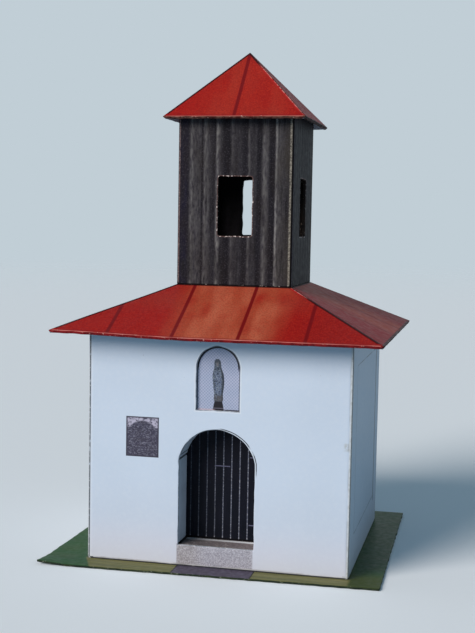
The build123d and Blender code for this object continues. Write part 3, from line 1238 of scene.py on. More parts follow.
@dataclass(frozen=True)
class DoorPrint:
    """Coated card, laser printed near black as a plank door with pale gaps.

    The near-black base is partly the toner and partly painted shade of the doorway, and the eye
    finds only the thin pale gaps, which fade into the dark on the left.

    Attributes:
        name: The material's name.
        first: Where one of the gaps is.
        pitch: The spacing of the gaps.
        foot: The height of the threshold.
    """

    name: str
    first: float
    pitch: float
    foot: float

    def make(self) -> Material:
        """Lines 0.13 mm wide that fade to the left, three cross joints and a dark foot.

        Returns:
            The material.
        """
        # The near-black base is partly the toner and partly painted shade of the doorway's recess.
        p = Print(self.name, "#060a15")
        p.ink("#0e101c", p.mottle(1.0, 0.4, 0.7, stretch=(1, 6), seed=80), 0.8)
        lines = p.rows(p.across, self.first, self.pitch, 0.13, 0.11)
        ends = {0: p.across, 1: -4.2, 2: 1.0, 3: 0.35, 4: 1.0}
        fade = add_node(p.tree, "MapRange", ends).outputs[0]
        p.ink("#5d6271", lines, fade, p.mottle(0.6, 0.1, 0.5, stretch=(1, 3), seed=81))
        p.ink("#a6a9b2", lines, fade, p.mottle(0.22, 0.5, 0.62, seed=82), 0.6)
        for left, right, level in ((-1.4, 1.02, 14.88), (4.03, 6.5, 6.0), (4.06, 6.5, 16.42)):
            p.ink("#62637a", p.panel(left, right, level - 0.07, level + 0.07), 0.85)
        p.ink("#c8c8d2", lines, p.band(p.up, self.foot + 0.32, self.foot + 0.5), 0.3)
        p.ink("#030305", p.band(p.up, self.foot - 2, self.foot + 0.26, 0.1))
        return p.finish(0.55, gloss=0.1)


@dataclass(frozen=True)
class StonePrint:
    """Coated card, laser printed as a worn stone step.

    A brown-grey grain without gloss, with a pale rim at the back where the card was cut.

    Attributes:
        name: The material's name.
        back: Where its back edge is.
    """

    name: str
    back: float

    def make(self) -> Material:
        """Grains 0.4 mm across over a slow change from left to right.

        Returns:
            The material.
        """
        p = Print(self.name, "#635e60")
        lighter = add_node(p.tree, "MapRange", {0: p.across, 1: -4.0, 2: 5.0}).outputs[0]
        p.ink("#857c7e", lighter)
        p.ink("#4e494c", p.mottle(0.45, 0.5, 0.64, seed=90), 0.5)
        p.ink("#b5aca8", p.mottle(0.4, 0.58, 0.68, seed=91), 0.6)
        p.ink("#a9abae", p.band(p.up, self.back - 1.15, self.back - 0.3, 0.2), 0.8)
        p.ink("#f0f4f8", p.band(p.up, self.back - 1.1, self.back - 0.35, 0.15), lighter)
        p.ink("#08080a", p.band(p.across, -9, -5.45, 0.16))
        return p.finish(0.5, gloss=0.2)


@dataclass(frozen=True)
class NichePrint:
    """Coated card, laser printed in a dot screen with a pale ground and a veiled figure.

    The dots are coarse enough to see, and from further off they mix to a cool lilac grey.
    The figure's half width is a smooth curve of its height, widest at the sleeves.

    Attributes:
        name: The material's name.
        foot: The height of the niche's sill on the card.
        spring: The height of the niche's spring.
        tall: The height of the figure with its plinth.
        shape: Shares of that height, and the half widths there.
    """

    name: str
    foot: float
    spring: float
    tall: float = 7.7
    shape: tuple[tuple[float, float], ...] = (
        (0.0, 0.84), (0.15, 0.62), (0.172, 0.58), (0.2, 0.7), (0.3, 0.66), (0.45, 0.8),
        (0.64, 0.87), (0.75, 0.72), (0.83, 0.53), (0.92, 0.49), (0.97, 0.33), (1.0, 0.0),
    )

    def make(self) -> Material:
        """A printed arch line runs round the ground, just inside the opening, deepened on the left
        and under the head by painted shadow of the wall's cut edge.

        Returns:
            The material.
        """
        p = Print(self.name, "#a9b4cb")
        p.ink("#b9bed4", p.mottle(2.5, 0.4, 0.65, seed=100), 0.5)
        p.screen("#66749a", 0.33, 0.5)  # the real dots are 0.25 mm apart, too fine to show
        self._figure(p)
        # The black line on the left and under the head is the printed arch line with painted shadow
        # of the wall's cut edge; the grey one runs all round.
        reach = p.arch(-0.06, self.spring)
        left = p.band(p.across, -9, -2, 0.5)
        p.ink("#0b0c14", p.band(reach, 3.14, 3.6, 0.08), left)
        head = p.band(p.up, self.spring - 0.2, self.spring + 9, 0.8)
        p.ink("#0b0c14", p.band(reach, 2.98, 3.6, 0.08), head)
        p.ink("#3a3d49", p.band(reach, 3.13, 3.6, 0.06), 0.8)
        sill = p.band(p.up, self.foot - 1, self.foot + 0.16, 0.08)
        p.ink("#17141c", sill, p.band(p.across, 0.9, 9, 0.6), 0.9)
        p.ink("#bfaab4", sill, p.band(p.across, -9, -0.6, 0.6), 0.6)
        return p.finish(0.5, gloss=0.25)

    def _figure(self, p: Print) -> None:
        """Robes with soft folds over a dark plinth, and a plain face turned down.

        Args:
            p: The print that they are laid on.
        """
        ends = {0: p.up, 1: self.foot, 2: self.foot + self.tall, 3: 0.0, 4: 1.0}
        rise = add_node(p.tree, "MapRange", ends).outputs[0]
        curve = add_node(p.tree, "FloatCurve", {1: rise})
        points = curve.mapping.curves[0].points
        for number, (height, half) in enumerate(self.shape):
            point = points[number] if number < 2 else points.new(height, half)
            point.location = (height, half)
        curve.mapping.update()
        bend = add_node(p.tree, "MapRange", {0: rise, 1: 0.5, 2: 1.0, 3: 0.0, 4: 0.24}).outputs[0]
        place = add_node(p.tree, "Math", {0: p.across, 1: bend}, operation="ADD").outputs[0]
        side = add_node(p.tree, "Math", {0: place}, operation="ABSOLUTE").outputs[0]
        within = {0: curve.outputs[0], 1: side}
        depth = add_node(p.tree, "Math", within, operation="SUBTRACT").outputs[0]
        figure = p.overlap(p.band(depth, 0.0, 9, 0.12), p.band(rise, -1, 0.99, 0.01))
        p.ink("#465263", figure, 0.95)
        robe = p.overlap(figure, p.band(place, -0.55, 0.42, 0.4), p.band(rise, 0.28, 0.74, 0.15))
        p.ink("#63708f", robe, 0.6)
        p.ink("#94a1a8", figure, p.mottle(0.17, 0.5, 0.62, detail=3, seed=101), 0.55)
        p.ink("#141a22", figure, p.mottle(0.22, 0.5, 0.62, detail=3, seed=102), 0.8)
        p.ink("#222933", figure, p.band(place, 0.42, 2, 0.3), p.band(depth, -1, 0.3, 0.15), 0.85)
        p.ink("#3a4149", figure, p.band(rise, 0.9, 2, 0.06), 0.7)
        hem = p.overlap(figure, p.band(rise, 0.17, 0.29, 0.04))
        p.ink("#4a474b", hem, p.mottle(0.2, 0.35, 0.5, seed=103), 0.8)
        p.ink("#7d7a7e", p.band(place, -0.22, 0.14, 0.16), p.band(rise, 0.855, 0.925, 0.03), 0.6)
        plinth = p.overlap(figure, p.band(rise, -1, 0.175, 0.02))
        p.ink("#15141d", plinth)
        p.ink("#5a5866", plinth, p.band(rise, 0.03, 0.05, 0.015))


# ---------------------------------------------------------------- pieces
class Stock:
    """The finishes that most pieces share."""

    def __init__(self) -> None:
        """Makes the card's bare back and its white cut edge."""
        self.bare = BareCard("uncoated_card_back", "#b9bcc2").make()
        self.white = CutEdge(
            "cut_white_card", pen="#b4bbc4", second="#8f98a3", fibre="#d6d8d9", share=0.3
        ).make()


@dataclass
class Finishes:
    """The materials of one sheet.

    Attributes:
        face: The printed face.
        edge: The cut edge.
        back: The back.
    """

    face: Material
    edge: Material
    back: Material


def make_piece(
    node: str, finishes: Finishes, sheets: Sequence[tuple[Shell, Lay]]
) -> None:
    """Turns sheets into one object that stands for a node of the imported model.

    Args:
        node: The node that it replaces.
        finishes: The materials of the sheets.
        sheets: Each sheet with the function that lays it in place.
    """
    name = node + "_sheet"
    places, faces, parts, flats, edges, base = [], [], [], [], [], 0
    for shell, lay in sheets:
        places.append(lay(shell.flat, shell.depth))
        faces += [block + base for block in shell.faces]
        parts += shell.parts
        flats.append(shell.flat)
        edges.append(shell.edge)
        base += len(shell.flat)
    mesh = bpy.data.meshes.new(name)
    lists = [face for block in faces for face in block.tolist()]
    mesh.from_pydata((np.concatenate(places) * MM).tolist(), [], lists)
    for material in (finishes.face, finishes.edge, finishes.back):
        mesh.materials.append(material)
    mesh.polygons.foreach_set("material_index", np.concatenate(parts).astype(np.int32))
    bent = np.concatenate([np.full(len(block), block.shape[1] == 4) for block in faces])
    mesh.polygons.foreach_set("use_smooth", bent)
    corner = np.concatenate([block.ravel() for block in faces])
    card_map = mesh.uv_layers.new(name=CARD_MAP)
    card_map.data.foreach_set("uv", np.concatenate(flats)[corner].astype(np.float32).ravel())
    attribute = mesh.attributes.new(EDGE, "FLOAT", "POINT")
    attribute.data.foreach_set("value", np.concatenate(edges).astype(np.float32))
    mesh.update()
    piece = bpy.data.objects.new(name, mesh)
    bpy.context.scene.collection.objects.link(piece)
    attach(piece, "root")
    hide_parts(node)
    LOG.info("%s: %d vertices, %d faces", name, len(mesh.vertices), len(mesh.polygons))


@dataclass
class HipRoof:
    """A roof of four slopes folded from one sheet.

    Attributes:
        prefix: What its pieces' names start with.
        eaves: Half its size at the eaves, across and back.
        top: Half its size at the top fold, or zeros for a point.
        eave: The height of the outer face at the eaves.
        rise: The height from there to the top.
        thickness: The card's thickness.
        edge: The finish of its front slope's cut edge; the others are penned darker, partly as
            painted shade.
        red: The print of its front slope.
        sag: How deep each slope sags in its middle.
        lift: How far its front left corner has lifted.
        curl: How far from that corner the lift starts.
    """

    prefix: str
    eaves: tuple[float, float]
    top: tuple[float, float]
    eave: float
    rise: float
    thickness: float
    edge: CutEdge
    red: RoofPrint
    sag: float = 0.12
    lift: float = 0.0
    curl: float = 22.0

    def pitch(self, side: Side) -> float:
        """A slope's angle above level."""
        return math.atan2(self.rise, side.halves(*self.eaves)[0] - side.halves(*self.top)[0])

    def normal(self, side: Side) -> Array:
        """The direction that a slope's outer face looks."""
        pitch = self.pitch(side)
        return side.out * math.sin(pitch) + np.array([0, 0, math.cos(pitch)])

    def lifted(self, places: Array) -> Array:
        """How far the roof has lifted: a smooth step down from its front left corner.

        Args:
            places: Places in plan, shape (n, 2).

        Returns:
            One height for each place.
        """
        corner = -np.array(self.eaves)
        near = np.clip(1 - np.linalg.norm(places - corner, axis=1) / self.curl, 0, 1)
        return self.lift * near**2 * (3 - 2 * near)

    def underside(self, places: Array) -> Array:
        """The height of the roof's underside over places in plan.

        It is the lowest of four planes, one for each slope, before any corner lifts.

        Args:
            places: Places in plan, shape (n, 2).

        Returns:
            One height for each place.
        """
        heights = []
        for side in Side:
            pitch = self.pitch(side)
            inset = side.halves(*self.eaves)[0] - places @ side.out[:2]
            heights.append(self.eave + inset * math.tan(pitch) - self.thickness / math.cos(pitch))
        return np.min(heights, axis=0)

    def slope_lay(self, side: Side, below: float = 0.0) -> FlatLay:
        """How a slope lies, or a sheet below its face.

        Args:
            side: The slope.
            below: How far below its face.

        Returns:
            The plane, with its origin at the middle of the eave.
        """
        pitch = self.pitch(side)
        up = np.array([0, 0, math.sin(pitch)]) - side.out * math.cos(pitch)
        eave = side.out * side.halves(*self.eaves)[0] + np.array([0, 0, self.eave])
        return FlatLay(eave - self.normal(side) * below, side.along, up)

    def slope(self, side: Side, seed: int) -> tuple[Shell, Lay]:
        """One slope, mitred along its hips and top fold, sagging a little in the middle.

        A fold leans by the tangent of half the angle between the two faces. The sag is
        a parabola up the slope times one across it.

        Args:
            side: The slope.
            seed: Picks how its cut edge wanders.

        Returns:
            The closed card, and the function that lays it in place.
        """
        far, half = side.halves(*self.eaves)
        near, half_top = side.halves(*self.top)
        length = math.hypot(self.rise, far - near)
        turn = math.acos(float(self.normal(side) @ self.normal(side.beside(1))))
        hip = math.tan(turn / 2)
        fold = EdgeKind.SCORED if side.value % 2 == 0 else EdgeKind.FOLDED
        if half_top > 0:
            corners = [(-half, 0), (half, 0), (half_top, length), (-half_top, length)]
            kinds = [EdgeKind.CUT, fold, EdgeKind.FOLDED, fold]
            leans = [0.0, hip, math.tan(self.pitch(side) / 2), hip]
        else:
            corners = [(-half, 0), (half, 0), (0, length)]
            kinds, leans = [EdgeKind.CUT, fold, fold], [0.0, hip, hip]
        outline = Outline.trace(corners, kinds, leans, step=0.4, stray=0.035, seed=seed)
        flat_lay = self.slope_lay(side)

        def lay(flat: Array, depth: Array) -> Array:
            """Sags the sheet, then lays it on its slope.

            Args:
                flat: Where each vertex is on the card.
                depth: How deep it is below the face.

            Returns:
                Its place in the model, in mm.
            """
            share = flat[:, 1] / length
            width = half + (half_top - half) * share
            bow = 1 - np.clip(np.abs(flat[:, 0]) / np.maximum(width, 0.1), 0, 1) ** 2
            places = flat_lay(flat, depth + self.sag * 4 * share * (1 - share) * bow)
            places[:, 2] += self.lifted(places[:, :2])
            return places

        return Card(outline, self.thickness, spacing=1.0).shell(), lay

    def build(self, stock: Stock) -> None:
        """Makes the four slopes: only the front one is worn, the side ones are cooler as a painted
        reflection, and the others' edges and eave lines are darker, partly painted shade.

        Args:
            stock: The shared finishes.
        """
        front = self.edge.make()
        # The other slopes' cut edges are penned darker, which partly paints the shade they are seen
        # in.
        darker = {"pen": "#23080e", "second": "#120508", "fibre": "#6a4a48"}
        others = replace(self.edge, name=f"penned_and_shaded_dark_{self.prefix}_edge", **darker).make()
        for side in Side:
            name = f"{self.prefix}_{side.name.lower()}"
            changes: dict[str, Any] = {"name": name + "_red_print"}
            # All but the front slope get a near-black line along the eave, wider on the sides: pen
            # and painted shade.
            if side is not Side.FRONT:
                changes |= {"orange_patches": self.red.orange_patches * 0.35, "brink": "#18060c", "worn": None}
            # The side slopes' cooler red is a painted reflection of the cool light round about.
            if side.value % 2 == 1:
                changes |= {"base": "#8b121c", "rim": 0.32, "grain": 0.2}
            red = replace(self.red, **changes).make()
            finishes = Finishes(red, front if side is Side.FRONT else others, stock.bare)
            make_piece(name, finishes, [self.slope(side, 17 + side.value)])


@dataclass
class WallBox:
    """Four walls folded from one strip of card, with glue flaps, under a hipped roof.

    Attributes:
        half_x: Half its size across.
        half_y: Half its size from front to back.
        foot: The height of its foot.
        roof: The roof above it.
        thickness: The card's thickness.
        flap: The depth of its glue flaps.
        short: How far a flap stops short of the wall's corners.
        trim: How much shallower the flaps at the head are.
        closing: The width of the flap that closes the strip at its last fold.
    """

    half_x: float
    half_y: float
    foot: float
    roof: HipRoof
    thickness: float
    flap: float
    short: float = 2.0
    trim: float = 0.6
    closing: float = 5.0

    def height(self, side: Side) -> float:
        """The wall's height at the middle of its face."""
        far = side.halves(self.half_x, self.half_y)[0]
        return float(self.roof.underside(side.out[None, :2] * far)[0]) - self.foot

    def wall(self, side: Side) -> tuple[Shell, Lay]:
        """The wall itself: its height follows the underside of the roof along its length.

        Where the roof has lifted, the wall rises by that times a twelfth power of the
        share of its height, so that only its head moves.

        Args:
            side: The wall.

        Returns:
            The closed card, and the function that lays it in place.
        """
        far, half = side.halves(self.half_x, self.half_y)
        height = self.height(side)
        fold = EdgeKind.SCORED if side.value % 2 == 0 else EdgeKind.FOLDED
        outline = Outline.trace(
            rectangle(-half, half, 0, height),
            [EdgeKind.CUT, fold, EdgeKind.CUT, fold],
            [0, 1, 0, 1],
            step=0.4,
            stray=0.02,
            seed=11 + side.value,
        )
        origin = side.out * far + np.array([0, 0, self.foot])

        def lay(flat: Array, depth: Array) -> Array:
            """Stretches each column of the wall to reach the roof, then stands it up.

            Args:
                flat: Where each vertex is on the card.
                depth: How deep it is below the face.

            Returns:
                Its place in the model, in mm.
            """
            plan = (side.out * far + flat[:, :1] * side.along)[:, :2]
            reach = (self.roof.underside(plan) - self.foot) / height
            head = np.clip(flat[:, 1] / height, 0, 1) ** 12 * self.roof.lifted(plan)
            tall = np.stack([flat[:, 0], flat[:, 1] * reach + head], axis=1)
            return FlatLay(origin, side.along, np.array([0, 0, 1.0]))(tall, depth)

        return Card(outline, self.thickness, self.cuts(side), spacing=2.0).shell(), lay

    def cuts(self, side: Side) -> list[Outline]:
        """The openings cut through a wall; a plain box has none."""
        return []

    def flap_sheet(self, length: float, depth: float, lay: Lay) -> tuple[Shell, Lay]:
        """A glue flap whose ends taper at 45 degrees.

        Args:
            length: Its length along the fold.
            depth: How far it reaches from the fold.
            lay: The function that lays it in place.

        Returns:
            The closed card, and that function.
        """
        half, taper = length / 2, length / 2 - depth
        corners = [(-half, 0), (half, 0), (taper, depth), (-taper, depth)]
        outline = Outline.trace(corners, step=0.8, stray=0.03, seed=5)
        return Card(outline, self.thickness, spacing=2.0).shell(), lay

    def flaps(self, side: Side) -> list[tuple[Shell, Lay]]:
        """The flaps at the foot and head of a wall, and the back wall's upright one.

        The foot's lies on the ground. The head's lies against the underside of the roof,
        starting where the inner face of the wall meets it.

        Args:
            side: The wall.

        Returns:
            The closed cards, each with the function that lays it in place.
        """
        far, half = side.halves(self.half_x, self.half_y)
        card, inner = self.thickness, far - self.thickness
        length = 2 * (half - card - self.short)
        foot = FlatLay(side.out * inner + np.array([0, 0, self.foot + card]), side.along, -side.out)
        pitch = self.roof.pitch(side)
        over = side.halves(*self.roof.eaves)[0] - far
        start = (over + card - 2 * card * math.sin(pitch)) / math.cos(pitch)
        slope = self.roof.slope_lay(side, card)
        head = FlatLay(slope.origin + slope.up * start, slope.along, slope.up)
        sheets = [
            self.flap_sheet(length, self.flap, foot),
            self.flap_sheet(length - self.short, self.flap - self.trim, head),
        ]
        if side is Side.BACK:
            low, high = 2 * card, self.roof.eave - self.foot + over * math.tan(pitch) - 3 * card
            fold = self.half_y - card
            corners = rectangle(fold - self.closing, fold, low, high)
            origin = np.array([self.half_x - card, 0, self.foot])
            upright = FlatLay(origin, np.array([0, 1.0, 0]), np.array([0, 0, 1.0]))
            sheets.append((Card(Outline.trace(corners, step=0.8), card).shell(), upright))
        return sheets


@dataclass
class ChapelWalls(WallBox):
    """The chapel's white walls: the front one has the doorway and the niche.

    Attributes:
        door: Half the doorway's width, its sill, spring and crown.
        niche: The same for the niche.
    """

    door: Arch = DOOR
    niche: Arch = NICHE

    def cuts(self, side: Side) -> list[Outline]:
        """The doorway and the niche, both in the front wall.

        Args:
            side: The wall.

        Returns:
            The outlines of its openings.
        """
        openings = (self.door, self.niche) if side is Side.FRONT else ()
        return [
            Outline.trace(arched(*opening)[::-1], step=0.25, stray=0.02, seed=31 + number)
            for number, opening in enumerate(openings)
        ]

    def build(self, stock: Stock) -> None:
        """Makes the four walls with their glue flaps.

        Args:
            stock: The shared finishes.
        """
        for side in Side:
            half, sill = side.halves(self.half_x, self.half_y)[1], self.door[1]
            white = WhiteWash(side, self.height(side), half, sill).make()
            sheets = [self.wall(side), *self.flaps(side)]
            name = f"{side.name.lower()}_wall"
            make_piece(name, Finishes(white, stock.white, stock.bare), sheets)


@dataclass
class Tower(WallBox):
    """The tower's board-printed walls, black inside, and the deck they stand on.

    Attributes:
        window: Half a window's width, its sill and its head.
        rounding: How round a window's corners are.
        strays: How far the knife strayed round the window of each side, from the front.
    """

    window: tuple[float, float, float] = (2.68, 7.6, 16.67)
    rounding: float = 0.35
    strays: tuple[float, float, float, float] = (0.03, 0.05, 0.07, 0.05)

    def cuts(self, side: Side) -> list[Outline]:
        """One window in each wall.

        Args:
            side: The wall.

        Returns:
            The outline of its window.
        """
        half, sill, head = self.window
        corners = rectangle(-half, half, sill, head)[::-1]
        stray, seed = self.strays[side.value], 31 + 7 * side.value
        return [Outline.trace(corners, rounding=self.rounding, step=0.25, stray=stray, seed=seed)]

    def build(self, stock: Stock) -> None:
        """Makes the four walls, each with a window, and the deck.

        Args:
            stock: The shared finishes.
        """
        black = BlackLining().make()
        edge = CutEdge(
            "penned_brown_card_edge", pen="#1a1512", second="#0e0c0d", fibre="#6d635c", share=0.0
        ).make()
        for side in Side:
            scored = side.value % 2 == 0
            boards = BoardPrint(
                f"laser_printed_board_card_{side.name.lower()}",
                half=side.halves(self.half_x, self.half_y)[1],
                scored=scored,
                strength=1.0 if scored else 0.4,
            )
            sheets = [self.wall(side), *self.flaps(side)]
            name = f"tower_{side.name.lower()}_wall"
            make_piece(name, Finishes(boards.make(), edge, black), sheets)
        deck = Strip("roof_deck", (0, 0, 1), (1, 0, 0))
        make_piece(deck.node, Finishes(black, edge, stock.bare), [deck.sheet()])


@dataclass
class Strip:
    """A plain rectangular card read from its node's box, with its face on one side of it.

    Attributes:
        node: The node.
        out: The direction that its face looks.
        along: The direction to the right of someone who looks at the face.
        stray: How far its cut edges wander.
    """

    node: str
    out: tuple[float, float, float]
    along: tuple[float, float, float]
    stray: float = 0.02

    def sheet(self) -> tuple[Shell, Lay]:
        """The card, with its map laid on the model's own axes so that prints line up.

        Returns:
            The closed card, and the function that lays it in place.
        """
        low, high = (np.array(corner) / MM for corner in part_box(self.node))
        out, along = np.array(self.out, float), np.array(self.along, float)
        up = np.cross(out, along)
        thickness = float(np.abs(out) @ (high - low))
        face = float(max(out @ low, out @ high))
        u = sorted((float(along @ low), float(along @ high)))
        v = sorted((float(up @ low), float(up @ high)))
        outline = Outline.trace(rectangle(*u, *v), step=0.4, stray=self.stray, seed=3)
        return Card(outline, thickness, spacing=1.5).shell(), FlatLay(out * face, along, up)


@dataclass
class ArchLining:
    """The strip bent under the door's arched head.

    Attributes:
        radius: The radius of the arch.
        centre: The height of its centre.
        reach: How far the strip goes each way from the crown, in radians.
        thickness: The card's thickness.
    """

    radius: float
    centre: float
    reach: float
    thickness: float

    def sheet(self) -> tuple[Shell, Lay]:
        """A flat strip rolled to the arch: distance along it is angle times radius.

        Returns:
            The closed card, and the function that lays it in place.
        """
        low, high = (np.array(corner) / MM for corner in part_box("arch_lining"))
        run = self.radius * self.reach
        corners = rectangle(-run, run, low[1], high[1])
        outline = Outline.trace(corners, step=0.3, stray=0.015, seed=4)

        def lay(flat: Array, depth: Array) -> Array:
            """Rolls the strip: depth adds to the radius and the map's up runs back.

            Args:
                flat: Where each vertex is on the card.
                depth: How deep it is below the face.

            Returns:
                Its place in the model, in mm.
            """
            angle, reach = -flat[:, 0] / self.radius, self.radius + depth
            x, z = reach * np.sin(angle), self.centre + reach * np.cos(angle)
            return np.stack([x, flat[:, 1], z], axis=1)

        return Card(outline, self.thickness, spacing=0.7).shell(), lay


@dataclass
class Doorway:
    """The strips that line the doorway, its threshold and the door behind them.

    Attributes:
        ground: The height that the chapel's walls stand at.
        thickness: The card's thickness.
        door: Half the doorway's width, its sill, spring and crown.
        plank: Where a gap between the door's planks is, and their width.
    """

    ground: float
    thickness: float
    door: Arch = DOOR
    plank: tuple[float, float] = (-5.11, 1.275)

    def build(self, stock: Stock) -> None:
        """Makes the jambs, the bent lining, the threshold and the door.

        Args:
            stock: The shared finishes.
        """
        half, sill, spring, crown = self.door
        white, bare = stock.white, stock.bare
        jamb = LiningCard("smooth_white_jamb_card", ()).make()
        for name, way in (("left_jamb", 1), ("right_jamb", -1)):
            strip = Strip(name, (way, 0, 0), (0, way, 0))
            make_piece(name, Finishes(jamb, white, bare), [strip.sheet()])
        radius = arch_radius(half, crown - spring)
        reach = math.atan2(half, radius - crown + spring)
        arch = ArchLining(radius, self.ground + crown - radius, reach, self.thickness)
        bent = LiningCard("bent_white_lining_card", (-radius * reach, radius * reach)).make()
        make_piece("arch_lining", Finishes(bent, white, bare), [arch.sheet()])
        stone = StonePrint("laser_printed_stone_card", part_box("threshold")[1].y / MM).make()
        step = Strip("threshold", (0, 0, 1), (1, 0, 0))
        make_piece(step.node, Finishes(stone, white, bare), [step.sheet()])
        black = CutEdge(
            "penned_black_card_edge", pen="#101014", second="#1c1a1c", fibre="#6c6866", share=0.2
        ).make()
        planks = DoorPrint("laser_printed_plank_door_card", *self.plank, self.ground + sill).make()
        panel = Strip("door_panel", (0, -1, 0), (1, 0, 0))
        make_piece(panel.node, Finishes(planks, black, bare), [panel.sheet()])


@dataclass
class NicheCard:
    """The printed card glued behind the niche.

    Attributes:
        ground: The height that the chapel's walls stand at.
        niche: Half the niche's width, its sill, spring and crown.
    """

    ground: float
    niche: Arch = NICHE

    def build(self, stock: Stock) -> None:
        """Makes the card.

        Args:
            stock: The shared finishes.
        """
        _, sill, spring, _ = self.niche
        levels = self.ground + sill, self.ground + spring
        finishes = Finishes(
            NichePrint("laser_printed_niche_card", *levels).make(), stock.white, stock.bare
        )
        card = Strip("niche_card", (0, -1, 0), (1, 0, 0))
        make_piece(card.node, finishes, [card.sheet()])


@dataclass
class BaseCard:
    """The base card, cut a little out of square, with one corner lifting.

    Attributes:
        corners: Its corners from the front left, anticlockwise.
        thickness: Its thickness.
        lift: How far the front left corner has curled up.
        curl: How far from that corner the curl starts.
    """

    corners: Sequence[tuple[float, float]] = (
        (-26.5, -22.3), (24.85, -20.95), (24.4, 24.1), (-25.7, 23.6),
    )
    thickness: float = 0.35
    lift: float = 0.4
    curl: float = 6.5

    def sheet(self) -> tuple[Shell, Lay]:
        """The curl rises as the square of how far a point is inside it.

        Returns:
            The closed card, and the function that lays it in place.
        """
        outline = Outline.trace(self.corners, step=0.5, stray=0.04, seed=9)
        corner = np.array(self.corners[0])

        def lay(flat: Array, depth: Array) -> Array:
            """Lays the card flat and curls its corner.

            Args:
                flat: Where each vertex is on the card.
                depth: How deep it is below the face.

            Returns:
                Its place in the model, in mm.
            """
            near = np.clip(1 - np.linalg.norm(flat - corner, axis=1) / self.curl, 0, 1)
            height = self.thickness - depth + self.lift * near**2
            return np.column_stack([flat, height])

        return Card(outline, self.thickness, spacing=1.2).shell(), lay

    def build(self, stock: Stock) -> None:
        """Makes the card with its printed lawn and path.

        Args:
            stock: The shared finishes.
        """
        edge = CutEdge(
            "penned_green_card_edge", pen="#1a261d", second="#2c3724", fibre="#6f7566", share=0.1
        ).make()
        finishes = Finishes(LawnPrint("laser_printed_lawn_card").make(), edge, stock.bare)
        make_piece("base_card", finishes, [self.sheet()])


# ---------------------------------------------------------------- studio
def aim(turn: float, tip: float) -> Array:
    """The direction turned clockwise from +Y by one angle and tipped up by another.

    Args:
        turn: The turn in plan, in radians.
        tip: The angle above level, in radians.

    Returns:
        A vector of length 1.
    """
    level = math.cos(tip)
    return np.array([math.sin(turn) * level, math.cos(turn) * level, math.sin(tip)])


